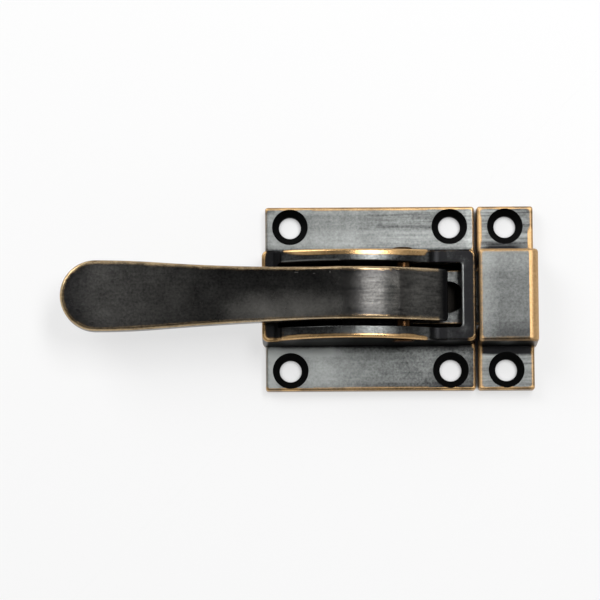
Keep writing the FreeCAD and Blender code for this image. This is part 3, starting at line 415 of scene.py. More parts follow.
        # Between the oxide and the bare edge lies a thin brown film
        film = add_node(tree, "ShaderNodeMapRange",
                        {"Value": exposed, "From Min": self.wear_start - self.film_reach,
                         "From Max": self.wear_full - self.film_reach, "To Max": self.film_cover},
                        interpolation_type="SMOOTHSTEP").outputs["Result"]
        colour = add_node(tree, "ShaderNodeMix",
                          {MIX_FACTOR: film, MIX_A: self.patina(tree, swings, masks),
                           MIX_B: linear(self.brown)}, data_type="RGBA")
        wear = add_node(tree, "ShaderNodeMapRange",
                        {"Value": exposed, "From Min": self.wear_start,
                         "From Max": self.wear_full},
                        interpolation_type="SMOOTHSTEP").outputs["Result"]
        shine = add_node(tree, "ShaderNodeMath", {0: pits, 1: 0.5}, operation="ADD")
        gold = add_node(tree, "ShaderNodeMix",
                        {MIX_FACTOR: shine, MIX_A: linear(self.gold_deep),
                         MIX_B: linear(self.gold_bright)}, data_type="RGBA")
        colour = add_node(tree, "ShaderNodeMix",
                          {MIX_FACTOR: wear, MIX_A: colour.outputs[MIX_RESULT],
                           MIX_B: gold.outputs[MIX_RESULT]}, data_type="RGBA")
        gloss = add_node(tree, "ShaderNodeMapRange",
                         {"Value": wear, "To Min": self.roughness, "To Max": self.gold_roughness})
        terms = [(cloud, self.cloud_gloss)]
        terms += [(mask, -zone.polish) for zone, mask in masks if zone.polish]
        relief = weighted_sum(tree, pits, [(brush, self.brush_relief)])
        bump = add_node(tree, "ShaderNodeBump",
                        {"Height": relief, "Strength": self.bump_strength,
                         "Distance": mm(self.pit_depth)})
        feed(tree, shader, {"Metallic": 1.0, "Base Color": colour.outputs[MIX_RESULT],
                            "Roughness": weighted_sum(tree, gloss.outputs["Result"], terms),
                            "Normal": bump})
        return made


@dataclass(frozen=True)
class DullBlackRecess:
    """The countersinks: a dull black with a soft speckle, hardly shining."""

    name: str
    black: str = "#010101"
    near_black: str = "#050505"
    roughness: float = 0.6
    specular: float = 0.06
    speckle: float = 0.3
    speckle_detail: float = 2.0
    relief: float = 0.01
    bump_strength: float = 0.4

    def material(self) -> bpy.types.Material:
        """Build the material.

        Returns:
            The finished material.
        """
        made, tree, shader, place = new_material(self.name)
        grain = add_node(tree, "ShaderNodeTexNoise",
                         {"Vector": place, "Scale": per_mm(self.speckle),
                          "Detail": self.speckle_detail})
        colour = add_node(tree, "ShaderNodeMix",
                          {MIX_FACTOR: grain, MIX_A: linear(self.black), MIX_B: linear(self.near_black)},
                          data_type="RGBA")
        bump = add_node(tree, "ShaderNodeBump",
                        {"Height": grain, "Strength": self.bump_strength,
                         "Distance": mm(self.relief)})
        feed(tree, shader, {"Roughness": self.roughness, "Specular IOR Level": self.specular,
                            "Base Color": colour.outputs[MIX_RESULT], "Normal": bump})
        return made


@dataclass(frozen=True)
class BareMetal:
    """Plain metal as the mill left it: fine lines along the drawing direction, a little tarnish;
    the back cover's two colours are painted near black instead, as shade.
    """

    name: str
    clean_and_shade: str
    tarnish_and_shade: str
    roughness: float = 0.35
    line_spacing: float = 0.25
    along: Triple = (0.04, 1.0, 1.0)
    line_detail: float = 3.0
    line_depth: float = 0.01
    bump_strength: float = 0.3
    gloss_swing: float = 0.08
    stain_size: float = 3.0
    stain_detail: float = 4.0
    stain_start: float = 0.35
    stain_full: float = 0.7

    def material(self) -> bpy.types.Material:
        """Build the material.

        Returns:
            The finished material.
        """
        made, tree, shader, place = new_material(self.name)
        drawn = add_node(tree, "ShaderNodeMapping", {"Vector": place, "Scale": self.along})
        lines = add_node(tree, "ShaderNodeTexNoise",
                         {"Vector": drawn, "Scale": per_mm(self.line_spacing),
                          "Detail": self.line_detail})
        stain = add_node(tree, "ShaderNodeTexNoise",
                         {"Vector": place, "Scale": per_mm(self.stain_size),
                          "Detail": self.stain_detail})
        tarnish = add_node(tree, "ShaderNodeMapRange",
                           {"Value": stain, "From Min": self.stain_start,
                            "From Max": self.stain_full})
        colour = add_node(tree, "ShaderNodeMix",
                          {MIX_FACTOR: tarnish, MIX_A: linear(self.clean_and_shade),
                           MIX_B: linear(self.tarnish_and_shade)}, data_type="RGBA")
        gloss = add_node(tree, "ShaderNodeMapRange",
                         {"Value": lines, "To Min": self.roughness - self.gloss_swing,
                          "To Max": self.roughness + self.gloss_swing})
        bump = add_node(tree, "ShaderNodeBump",
                        {"Height": lines, "Strength": self.bump_strength,
                         "Distance": mm(self.line_depth)})
        feed(tree, shader, {"Metallic": 1.0, "Base Color": colour.outputs[MIX_RESULT],
                            "Roughness": gloss, "Normal": bump})
        return made


@dataclass
class SolidPiece:
    """A rigid piece whose shape is its CAD solid, shaded smooth in place of flat facets.

    Angles are in degrees: up to the sharp angle faces shade as one, and within the flat angle
    they count as one flat region.
    """

    node: str
    body: Body
    slot: Slot
    finish: Union[PatinatedBrass, BareMetal]
    sharp_angle: float = 32.0
    flat_angle: float = 0.3
    merge_distance: float = 0.0005
    piece: Optional[bpy.types.Object] = None

    def build(self) -> None:
        """Copy the CAD mesh, merge its loose triangles and shade it up to its sharp edges."""
        mesh = frame["nodes"][self.node].data.copy()
        mesh.name = f"{self.node}_skin"
        mesh.materials.clear()
        shell = bmesh.new()
        shell.from_mesh(mesh)
        bmesh.ops.remove_doubles(shell, verts=shell.verts, dist=mm(self.merge_distance))
        normals = self.corner_normals(shell)
        shell.to_mesh(mesh)
        shell.free()
        mesh.polygons.foreach_set("use_smooth", [True] * len(mesh.polygons))
        mesh.normals_split_custom_set(normals)
        lift = mesh.attributes.new("lift", "FLOAT", "CORNER")
        lift.data.foreach_set("value", [normal.z for normal in normals])
        self.piece = bpy.data.objects.new(f"{self.node}_skin", mesh)
        bpy.context.scene.collection.objects.link(self.piece)

    def region_areas(self, shell: bmesh.types.BMesh) -> List[float]:
        """Measure the flat region that each face belongs to.

        Args:
            shell: The merged mesh.

        Returns:
            The area of its region for every face, by the face's index.
        """
        same_plane = math.cos(math.radians(self.flat_angle))
        areas = [0.0] * len(shell.faces)
        visited = [False] * len(shell.faces)
        for seed in shell.faces:
            if visited[seed.index]:
                continue
            visited[seed.index] = True
            region = [seed]
            for face in region:
                for edge in face.edges:
                    for other in edge.link_faces:
                        level = seed.normal.dot(other.normal) > same_plane
                        if level and not visited[other.index]:
                            visited[other.index] = True
                            region.append(other)
            area = sum(face.calc_area() for face in region)
            for face in region:
                areas[face.index] = area
        return areas

    def corner_normals(self, shell: bmesh.types.BMesh) -> List[Vector]:
        """Work out a normal for every face corner, so that flat faces stay flat at their fillets.

        Each face counts with the area of the whole flat region that it belongs to.

        Args:
            shell: The merged mesh.

        Returns:
            The normals in the order of the mesh's loops.
        """
        shell.faces.ensure_lookup_table()
        shell.normal_update()
        areas = self.region_areas(shell)
        still_smooth = math.cos(math.radians(self.sharp_angle))
        normals = []
        for face in shell.faces:
            for corner in face.loops:
                total = Vector()
                for other in corner.vert.link_faces:
                    if face.normal.dot(other.normal) > still_smooth:
                        total += other.normal * areas[other.index]
                normals.append(total.normalized())
        return normals

    def dress(self) -> None:
        """Give the piece its finish and set it on its body in place of the CAD node."""
        self.piece.data.materials.append(self.finish.material())
        self.mark_faces()
        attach(self.piece, self.body.value)
        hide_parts(self.node)

    def mark_faces(self) -> None:
        """Give single faces another finish; a plain piece has none."""


@dataclass
class DrilledPiece(SolidPiece):
    """A solid piece with countersunk screw holes, which stay black inside.

    Faces whose normal is more upright than the limit belong to the plate, not to a hole.
    """

    holes: List[Pair] = field(default_factory=list)
    countersink_radius: float = 3.25
    upright_limit: float = 0.95
    recess: DullBlackRecess = DullBlackRecess("dull_black_countersink")

    def mark_faces(self) -> None:
        """Give the cones and walls of the screw holes the recess finish."""
        mesh = self.piece.data
        mesh.materials.append(self.recess.material())
        for polygon in mesh.polygons:
            spot = polygon.center
            reach = min(math.hypot(spot.x - mm(x), spot.y - mm(y)) for x, y in self.holes)
            in_hole = reach < mm(self.countersink_radius)
            if in_hole and abs(polygon.normal.z) < self.upright_limit:
                polygon.material_index = 1


def grown(name: str, tree: Tree, sizes: Dict[str, Any]) -> bpy.types.Object:
    """Run a geometry tree on an empty mesh and keep the result as a plain mesh.

    Args:
        name: The name of the new piece.
        tree: The geometry tree.
        sizes: The tree's named inputs.

    Returns:
        The new object at the origin.
    """
    seed = bpy.data.objects.new(name, bpy.data.meshes.new(f"{name}_seed"))
    bpy.context.scene.collection.objects.link(seed)
    modifier = seed.modifiers.new("grow", "NODES")
    modifier.node_group = tree
    for socket in tree.interface.items_tree:
        if socket.item_type == "SOCKET" and socket.name in sizes:
            modifier[socket.identifier] = sizes[socket.name]
    bpy.context.view_layer.update()
    grown_seed = seed.evaluated_get(bpy.context.evaluated_depsgraph_get())
    mesh = bpy.data.meshes.new_from_object(grown_seed)
    seed.modifiers.clear()
    mesh.name = name
    seed.data = mesh
    return seed


@dataclass
class BoltSpring:
    """The compression spring behind the bolt, its end turns closed up.

    The closing is the share of the pitch that the ends give up, and keep the share of its length
    that the spring keeps when the bolt is drawn back, which nothing here reads.
    """

    left: float = -17.1
    length: float = 12.0
    height: float = 2.4
    outer_diameter: float = 3.0
    wire_diameter: float = 0.4
    turns: float = 7.0
    closing: float = 0.55
    keep: float = 10.0 / 12.0
    path_points: int = 224
    wire_sides: int = 12
    finish: BareMetal = BareMetal("drawn_spring_steel", "#c3c4c6", "#8f8d8a", 0.28)
    piece: Optional[bpy.types.Object] = None

    def tree(self) -> Tree:
        """Build the coil's node tree.

        Returns:
            A geometry tree with the spring's sizes as named inputs.
        """
        tree = bpy.data.node_groups.new("spring_coil", "GeometryNodeTree")
        for name in ("Left End", "Length", "Height", "Coil Radius", "Wire Radius", "Turns",
                     "Closing"):
            tree.interface.new_socket(name, in_out="INPUT", socket_type="NodeSocketFloat")
        tree.interface.new_socket("Finish", in_out="INPUT", socket_type="NodeSocketMaterial")
        tree.interface.new_socket("Geometry", in_out="OUTPUT", socket_type="NodeSocketGeometry")
        given = add_node(tree, "NodeGroupInput").outputs
        line = add_node(tree, "GeometryNodeCurvePrimitiveLine")
        path = add_node(tree, "GeometryNodeResampleCurve",
                        {"Curve": line, "Count": self.path_points})
        share = add_node(tree, "GeometryNodeSplineParameter").outputs["Factor"]
        # The pitch is least at both ends, where the turns close up
        round_once = add_node(tree, "ShaderNodeMath", {0: share, 1: math.tau},
                              operation="MULTIPLY")
        ripple = add_node(tree, "ShaderNodeMath", {0: round_once}, operation="SINE")
        pull = add_node(tree, "ShaderNodeMath", {0: given["Closing"], 1: 1 / math.tau},
                        operation="MULTIPLY")
        drawn_in = add_node(tree, "ShaderNodeMath", {0: ripple, 1: pull}, operation="MULTIPLY")
        along = add_node(tree, "ShaderNodeMath", {0: share, 1: drawn_in}, operation="SUBTRACT")
        wire_width = add_node(tree, "ShaderNodeMath", {0: given["Wire Radius"], 1: 2.0},
                              operation="MULTIPLY")
        free = add_node(tree, "ShaderNodeMath", {0: given["Length"], 1: wire_width},
                        operation="SUBTRACT")
        first = add_node(tree, "ShaderNodeMath", {0: given["Left End"], 1: given["Wire Radius"]},
                         operation="ADD")
        x = add_node(tree, "ShaderNodeMath", {0: along, 1: free, 2: first},
                     operation="MULTIPLY_ADD")
        angle = add_node(tree, "ShaderNodeMath", {0: round_once, 1: given["Turns"]},
                         operation="MULTIPLY")
        sine = add_node(tree, "ShaderNodeMath", {0: angle}, operation="SINE")
        cosine = add_node(tree, "ShaderNodeMath", {0: angle}, operation="COSINE")
        y = add_node(tree, "ShaderNodeMath", {0: sine, 1: given["Coil Radius"]},
                     operation="MULTIPLY")
        z = add_node(tree, "ShaderNodeMath",
                     {0: cosine, 1: given["Coil Radius"], 2: given["Height"]},
                     operation="MULTIPLY_ADD")
        spot = add_node(tree, "ShaderNodeCombineXYZ", {"X": x, "Y": y, "Z": z})
        coil = add_node(tree, "GeometryNodeSetPosition", {"Geometry": path, "Position": spot})
        ring = add_node(tree, "GeometryNodeCurvePrimitiveCircle",
                        {"Resolution": self.wire_sides, "Radius": given["Wire Radius"]})
        wire = add_node(tree, "GeometryNodeCurveToMesh",
                        {"Curve": coil, "Profile Curve": ring, "Fill Caps": True})
        smooth = add_node(tree, "GeometryNodeSetShadeSmooth", {"Geometry": wire})
        real = add_node(tree, "GeometryNodeRealizeInstances", {"Geometry": smooth})
        dressed = add_node(tree, "GeometryNodeSetMaterial",
                           {"Geometry": real, "Material": given["Finish"]})
        add_node(tree, "NodeGroupOutput", {"Geometry": dressed})
        return tree

    def build(self) -> None:
        """Make the coil as a plain mesh."""
        wire = self.wire_diameter / 2
        sizes = {"Left End": mm(self.left), "Length": mm(self.length), "Height": mm(self.height),
                 "Coil Radius": mm(self.outer_diameter / 2 - wire), "Wire Radius": mm(wire),
                 "Turns": self.turns, "Closing": self.closing, "Finish": self.finish.material()}
        self.piece = grown("bolt_spring_coil", self.tree(), sizes)

    def dress(self) -> None:
        """Set the coil on the case in place of the CAD node, on a mesh of its own."""
        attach(self.piece, Body.CASE.value)
        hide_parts("bolt_spring")
        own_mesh(self.piece)


@dataclass
class CoverRivets:
    """The four rivets that hold the back cover, their ends dressed flush with it."""

    spacing_along: float = 27.2
    spacing_across: float = 13.9
    middle_x: float = 0.6
    diameter: float = 1.6
    length: float = 2.6
    sides: int = 32
    rings: int = 4
    finish: BareMetal = BareMetal("cut_brass_rivet", "#d8b069", "#a98246", 0.32, 0.3,
                                  (1.0, 1.0, 0.1))
    piece: Optional[bpy.types.Object] = None

    def tree(self) -> Tree:
        """Build the rivets' node tree.

        Returns:
            A geometry tree with the rivets' sizes as named inputs.
        """
        tree = bpy.data.node_groups.new("rivet_pattern", "GeometryNodeTree")
        for name in ("Along", "Across", "Radius", "Length"):
            tree.interface.new_socket(name, in_out="INPUT", socket_type="NodeSocketFloat")
        tree.interface.new_socket("Middle", in_out="INPUT", socket_type="NodeSocketVector")
        tree.interface.new_socket("Finish", in_out="INPUT", socket_type="NodeSocketMaterial")
        tree.interface.new_socket("Geometry", in_out="OUTPUT", socket_type="NodeSocketGeometry")
        given = add_node(tree, "NodeGroupInput").outputs
        grid = add_node(tree, "GeometryNodeMeshGrid",
                        {"Size X": given["Along"], "Size Y": given["Across"], "Vertices X": 2,
                         "Vertices Y": 2})
        centred = add_node(tree, "GeometryNodeTransform",
                           {"Geometry": grid, "Translation": given["Middle"]})
        shank = add_node(tree, "GeometryNodeMeshCylinder",
                         {"Vertices": self.sides, "Side Segments": 1, "Fill Segments": self.rings,
                          "Radius": given["Radius"], "Depth": given["Length"]})
        placed = add_node(tree, "GeometryNodeInstanceOnPoints",
                          {"Points": centred, "Instance": shank})
        real = add_node(tree, "GeometryNodeRealizeInstances", {"Geometry": placed})
        dressed = add_node(tree, "GeometryNodeSetMaterial",
                           {"Geometry": real, "Material": given["Finish"]})
        add_node(tree, "NodeGroupOutput", {"Geometry": dressed})
        return tree

    def build(self) -> None:
        """Make the rivets as a plain mesh."""
        sizes = {"Along": mm(self.spacing_along), "Across": mm(self.spacing_across),
                 "Radius": mm(self.diameter / 2), "Length": mm(self.length),
                 "Middle": mm3((self.middle_x, 0.0, self.length / 2)),
                 "Finish": self.finish.material()}
        self.piece = grown("cover_rivet_set", self.tree(), sizes)

    def dress(self) -> None:
        """Set the rivets on the case in place of the CAD node."""
        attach(self.piece, Body.CASE.value)
        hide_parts("cover_rivets")


@dataclass
class Studio:
    """A white paper floor, a softbox over the strike's side, a window, walls and the camera.

    Powers are in watts, and the camera's angles in degrees.
    """

    floor_half: float = 6000.0
    floor_drop: float = 0.05
    paper: str = "#f1f1f1"
    paper_roughness: float = 0.9
    paper_grain: float = 0.6
    paper_relief: float = 0.01
    paper_bump: float = 0.05
    # The share of the paper that shows as plain white, and the openness at which that fades out
    paper_white: float = 0.7
    white: str = "#f7f7f7"
    contact: float = 4.0
    contact_black: float = 0.2
    contact_white: float = 0.5
    contact_rays: int = 16
    softbox_corner: Pair = (80.0, 25.0)
    softbox_size: Pair = (165.0, 390.0)
    softbox_height: float = 520.0
    softbox_power: float = 2.62
    window_place: Triple = (-495.0, 540.0, 520.0)
    window_size: float = 500.0
    window_power: float = 4.8
    walls: str = "#ffffff"
    horizon: float = 0.95
    zenith: float = 0.1
    zenith_from: float = 0.9
    camera_aim: Triple = (-12.74, -0.2, 2.4)
    camera_distance: float = 620.0
    camera_tilt: float = 6.3
    camera_roll: float = -0.35
    camera_lens: float = 205.0
    camera_sensor: float = 36.0
    camera_clip: Pair = (10.0, 20000.0)

    def build(self) -> None:
        """Make the floor, the lamps, the walls and the camera."""
        self.make_floor()
        self.hang_lamps()
        self.make_walls()
        self.make_camera()

    def make_floor(self) -> None:
        """Lay matt white paper just under the latch."""
        half = mm(self.floor_half)
        corners = [(-half, -half), (half, -half), (half, half), (-half, half)]
        mesh = bpy.data.meshes.new("paper_floor")
        mesh.from_pydata([(x, y, -mm(self.floor_drop)) for x, y in corners], [], [(0, 1, 2, 3)])
        mesh.materials.append(self.paper_material())
        floor = bpy.data.objects.new("paper_floor", mesh)
        bpy.context.scene.collection.objects.link(floor)

    def paper_material(self) -> bpy.types.Material:
        """Build the paper, which shows as white with a light shadow.

        Returns:
            The finished material.
        """
        made, tree, shader, place = new_material("matt_white_paper")
        grain = add_node(tree, "ShaderNodeTexNoise",
                         {"Vector": place, "Scale": per_mm(self.paper_grain)})
        bump = add_node(tree, "ShaderNodeBump",
                        {"Height": grain, "Strength": self.paper_bump,
                         "Distance": mm(self.paper_relief)})
        feed(tree, shader, {"Base Color": linear(self.paper), "Roughness": self.paper_roughness,
                            "Specular IOR Level": 0.0, "Normal": bump})
        # The white is the same to the camera and in the metal
        rays = add_node(tree, "ShaderNodeLightPath").outputs
        direct = add_node(tree, "ShaderNodeMath",
                          {0: rays["Is Camera Ray"], 1: rays["Is Glossy Ray"]},
                          operation="MAXIMUM")
        direct = add_node(tree, "ShaderNodeMath", {0: direct, 1: rays["Is Transmission Ray"]},
                          operation="MAXIMUM")
        # Close under an edge and in narrow gaps no light reaches the paper
        near = add_node(tree, "ShaderNodeAmbientOcclusion", {"Distance": mm(self.contact)},
                        samples=self.contact_rays)
        lit = add_node(tree, "ShaderNodeMapRange",
                       {"Value": near.outputs["AO"], "From Min": self.contact_black,
                        "From Max": self.contact_white})
        share = add_node(tree, "ShaderNodeMath", {0: direct, 1: self.paper_white},
                         operation="MULTIPLY")
        white = add_node(tree, "ShaderNodeEmission",
                         {"Color": linear(self.white), "Strength": lit})
        seen = add_node(tree, "ShaderNodeMixShader", {0: share, 1: shader, 2: white})
        feed(tree, tree.nodes["Material Output"], {"Surface": seen})
        return made

    def hang_lamps(self) -> None:
        """Hang the softbox level above the floor, and a wide pale window at the upper left."""
        softbox = bpy.data.lights.new("softbox", "AREA")
        softbox.shape = "RECTANGLE"
        softbox.size, softbox.size_y = (mm(side) for side in self.softbox_size)
        softbox.energy = self.softbox_power
        hung = bpy.data.objects.new("softbox", softbox)
        middle = [start + size / 2 for start, size in zip(self.softbox_corner, self.softbox_size)]
        hung.location = mm3((*middle, self.softbox_height))
        bpy.context.scene.collection.objects.link(hung)

        window = bpy.data.lights.new("window", "AREA")
        window.shape = "SQUARE"
        window.size = mm(self.window_size)
        window.energy = self.window_power
        stood = bpy.data.objects.new("window", window)
        stood.location = mm3(self.window_place)
        stood.rotation_mode = "QUATERNION"
        stood.rotation_quaternion = (-stood.location).to_track_quat("-Z", "Y")
        bpy.context.scene.collection.objects.link(stood)

    def make_walls(self) -> None:
        """Light the room: pale walls near the horizon and a dark ceiling."""
        world = bpy.data.worlds.new("studio_room")
        world.use_nodes = True
        tree = world.node_tree
        tree.nodes.clear()
        direction = add_node(tree, "ShaderNodeTexCoord").outputs["Generated"]
        height = add_node(tree, "ShaderNodeSeparateXYZ", {0: direction}).outputs["Z"]
        level = add_node(tree, "ShaderNodeMapRange",
                         {"Value": height, "From Min": 0.0, "From Max": self.zenith_from,
                          "To Min": self.horizon, "To Max": self.zenith},
                         interpolation_type="SMOOTHSTEP")
        room = add_node(tree, "ShaderNodeBackground",
                        {"Color": linear(self.walls), "Strength": level})
        add_node(tree, "ShaderNodeOutputWorld", {"Surface": room})
        bpy.context.scene.world = world

    def make_camera(self) -> None:
        """Stand the camera almost straight above the latch, a little towards its lower edge."""
        lens = bpy.data.cameras.new("overhead")
        lens.sensor_width = self.camera_sensor
        lens.lens = self.camera_lens
        lens.clip_start, lens.clip_end = (mm(reach) for reach in self.camera_clip)
        camera = bpy.data.objects.new("overhead", lens)
        tilt = math.radians(self.camera_tilt)
        back = Vector((0.0, -math.sin(tilt), math.cos(tilt)))
        camera.location = Vector(mm3(self.camera_aim)) + back * mm(self.camera_distance)
        camera.rotation_mode = "QUATERNION"
        roll = Quaternion((0.0, 0.0, 1.0), math.radians(self.camera_roll))
        camera.rotation_quaternion = (-back).to_track_quat("-Z", "Y") @ roll
        bpy.context.scene.collection.objects.link(camera)
        bpy.context.scene.camera = camera


def screw_places(mount: str) -> List[Pair]:
    """Read where a bolt pattern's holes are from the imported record.

    Args:
        mount: The name of the pattern.

    Returns:
        The holes' X and Y in millimetres.
    """
    found = next(item for item in frame["record"]["mounts"] if item["name"] == mount)
    middle = [part * 1000 for part in found["pos_m"]]
    along = found["dims"].get("spacing_x_mm", 0.0) / 2
    across = found["dims"]["spacing_y_mm"] / 2
    sides = (-1, 1) if along else (0,)
    return [(middle[0] + side * along, middle[1] + end * across)
            for side in sides for end in (-1, 1)]


# How far round a hole's middle its rim is kept unworn, and the same towards the plate's edge
HOLE_GUARD = 3.8
HOLE_GUARD_OUTER = 2.9
UNWORN = -0.6


def unworn_round(holes: List[Pair]) -> Tuple[Zone, ...]:
    """Keep the rims of screw holes as dark as the face round them.

    Args:
        holes: The holes' X and Y in millimetres.

    Returns:
        One zone for each hole.
    """
    zones = []
    for x, y in holes:
        near, far = sorted((y - math.copysign(HOLE_GUARD, y),
                            y + math.copysign(HOLE_GUARD_OUTER, y)))
        zones.append(Zone((x - HOLE_GUARD, near, 1.0), (x + HOLE_GUARD, far, 3.0),
                          (0.4, 0.3, 0.5), rub=UNWORN))
    return tuple(zones)


CASE_HOLES = screw_places("case_screws")
STRIKE_HOLES = screw_places("strike_screws")

CASE_ZONES = unworn_round(CASE_HOLES) + (
    # upper flange, painted palest as the light from above falls on it, above all next to the
    # housing
    Zone((-19.0, 9.3, 2.0), (19.0, 16.2, 2.6), (0.6, 0.5, 0.5), tone=0.18),
    Zone((4.0, 9.3, 2.0), (19.0, 16.8, 2.6), (6.0, 0.5, 0.5), lines=0.5),
    Zone((-19.0, 9.3, 2.0), (-9.0, 16.2, 2.6), (16.0, 0.5, 0.5), tone=0.16),
    Zone((-19.0, 9.3, 2.0), (19.0, 10.4, 2.6), (0.6, 3.0, 0.5), tone=0.14),
    Zone((-12.0, 13.2, 2.0), (12.0, 14.8, 2.6), (3.0, 1.0, 0.5), tone=-0.1),
    # its margins, where the oxide is thin beside the bare edge
    Zone((-17.0, 15.9, 2.0), (19.0, 16.8, 2.6), (0.5, 0.8, 0.5), tone=0.15),
    Zone((18.2, 9.3, 2.0), (19.2, 16.8, 2.6), (1.2, 0.5, 0.5), tone=0.3),
    Zone((-19.2, 9.8, 2.0), (-17.8, 15.2, 2.6), (1.2, 0.8, 0.5), tone=0.22),
    # lower flange, painted light at the paddle end and painted shade towards the strike
    Zone((-19.2, -17.0, 2.0), (-17.8, -9.0, 2.6), (2.4, 0.5, 0.5), tone=0.64),
    Zone((-17.0, -10.2, 2.0), (-8.0, -9.2, 2.6), (4.0, 0.8, 0.5), tone=0.4),
    Zone((-12.5, -16.2, 2.0), (-9.0, -9.2, 2.6), (12.0, 0.6, 0.5), tone=0.53),
    Zone((2.0, -16.2, 2.0), (19.0, -9.2, 2.6), (6.0, 0.6, 0.5), tone=0.045),
    # cheeks and head of the housing, left dark and smooth, with a painted highlight band over the
    # cheeks' crown, and the walls under them painted darker still as shade
    Zone((-4.0, -8.3, 7.0), (9.0, 8.3, 13.0), (8.0, 0.4, 0.6), tone=0.22, polish=0.06,
         facing=Facing.UP),
    Zone((-16.0, -8.3, 7.0), (-4.0, 8.3, 13.0), (1.5, 0.4, 0.6), tone=0.02, polish=0.05),
    Zone((-19.6, -8.9, 2.9), (-16.5, 8.9, 10.0), (1.0, 0.4, 0.6), tone=-0.2),
    Zone((12.5, -8.6, 5.0), (19.0, 8.6, 9.0), (3.0, 0.8, 1.2), tone=-0.14, polish=0.06),
    Zone((-19.6, -9.2, 2.6), (19.2, 9.2, 12.5), (0.5, 0.3, 0.3), tone=-0.2, facing=Facing.SIDE),
    # the slot's inner rims are not rubbed, the outer rims of the cheeks are, far in over the crown
    Zone((-17.0, -6.4, 3.5), (17.0, 6.4, 13.0), (0.6, 0.3, 0.5), rub=UNWORN),
    Zone((-11.0, 7.35, 5.0), (7.5, 8.8, 13.0), (5.0, 0.7, 1.0), rub=0.34, facing=Facing.UP),
    Zone((-11.0, -8.8, 5.0), (6.6, -7.7, 13.0), (5.0, 0.6, 1.0), rub=0.28, facing=Facing.UP),
    Zone((-14.5, -8.8, 5.0), (-11.5, -7.6, 13.0), (1.6, 0.7, 1.0), rub=0.15, facing=Facing.UP),
    Zone((6.0, -8.8, 5.0), (7.4, -7.6, 13.0), (1.2, 0.7, 1.0), rub=0.15, facing=Facing.UP),
    # the hollow before the head is painted darker, as shade, and stays dull
    Zone((10.8, -8.6, 5.0), (13.2, 8.6, 9.0), (0.7, 0.5, 0.8), tone=-0.25, polish=-0.06),
    # the head's outer rim and the rims at the paddle end are hardly rubbed
    Zone((10.5, 6.0, 5.0), (17.5, 9.0, 9.0), (0.8, 0.6, 1.0), rub=-0.2),
    Zone((10.5, -9.0, 5.0), (17.0, -6.0, 9.0), (0.8, 0.6, 1.0), rub=-0.2),
    Zone((17.6, -7.5, 5.0), (19.2, 7.5, 9.0), (0.4, 0.8, 1.0), rub=-0.12),
    Zone((-18.4, 7.0, 3.0), (-16.0, 9.0, 12.0), (0.6, 0.5, 0.5), rub=-0.25),
    Zone((-19.2, -17.0, 0.0), (-18.4, 17.0, 3.0), (0.3, 0.5, 0.4), rub=-0.08),
    # the plate's upper edge is rubbed a little wider than the others
    Zone((-18.5, 16.2, 1.5), (18.5, 17.0, 3.0), (0.5, 0.3, 0.4), rub=0.035),
    # painted highlights on the rim round the slot's end and along the upper cheek
    Zone((16.35, -5.0, 5.0), (16.6, 5.2, 9.0), (0.25, 0.8, 0.6), tone=0.9),
    Zone((-15.5, 5.75, 8.0), (-6.0, 6.0, 13.0), (1.0, 0.25, 0.6), tone=0.6),
)
STRIKE_ZONES = unworn_round(STRIKE_HOLES) + (
    # the far end of the box is rubbed bare by the door, its upper rim and the upper tab less
    Zone((28.75, -7.7, 6.4), (31.0, 7.7, 9.0), (0.3, 0.5, 3.2), rub=0.5),
    Zone((19.0, 8.1, 4.0), (30.0, 9.0, 9.0), (0.5, 0.3, 0.5), rub=0.12),
    Zone((28.5, 9.8, 1.5), (30.5, 11.6, 3.0), (1.2, 1.8, 0.5), rub=0.22),
    Zone((19.0, 11.0, 1.5), (20.0, 14.0, 3.0), (1.0, 2.0, 0.5), rub=0.13),
    # painted light on the box at its upper left, and painted shade towards the lower end
    Zone((19.0, -8.5, 7.0), (20.0, 8.5, 9.0), (4.0, 0.5, 0.5), tone=0.18),
    Zone((19.0, 6.0, 7.0), (30.0, 9.0, 9.0), (0.5, 2.5, 0.5), tone=0.1),
    Zone((19.0, -9.0, 7.0), (30.0, -7.4, 9.0), (0.5, 3.5, 0.5), tone=-0.11),
    # the tabs are pale along the gap, with the box's shadow painted dark at its foot, the lower one
    # most
    Zone((19.0, 9.0, 1.5), (30.5, 17.0, 2.7), (0.6, 0.5, 0.5), tone=0.05, lines=0.9),
    Zone((19.0, -17.0, 1.5), (30.5, -9.0, 2.7), (0.6, 0.5, 0.5), tone=0.13, lines=0.8),
    Zone((19.0, -17.0, 1.5), (20.0, 17.0, 2.7), (2.2, 0.5, 0.5), tone=0.13, rub=0.04),
    Zone((20.4, -9.8, 1.5), (30.5, -8.6, 2.7), (1.0, 0.8, 0.5), tone=-0.6),
    Zone((22.0, 8.6, 1.5), (25.4, 9.2, 2.7), (3.0, 1.3, 0.5), tone=-0.2),
)
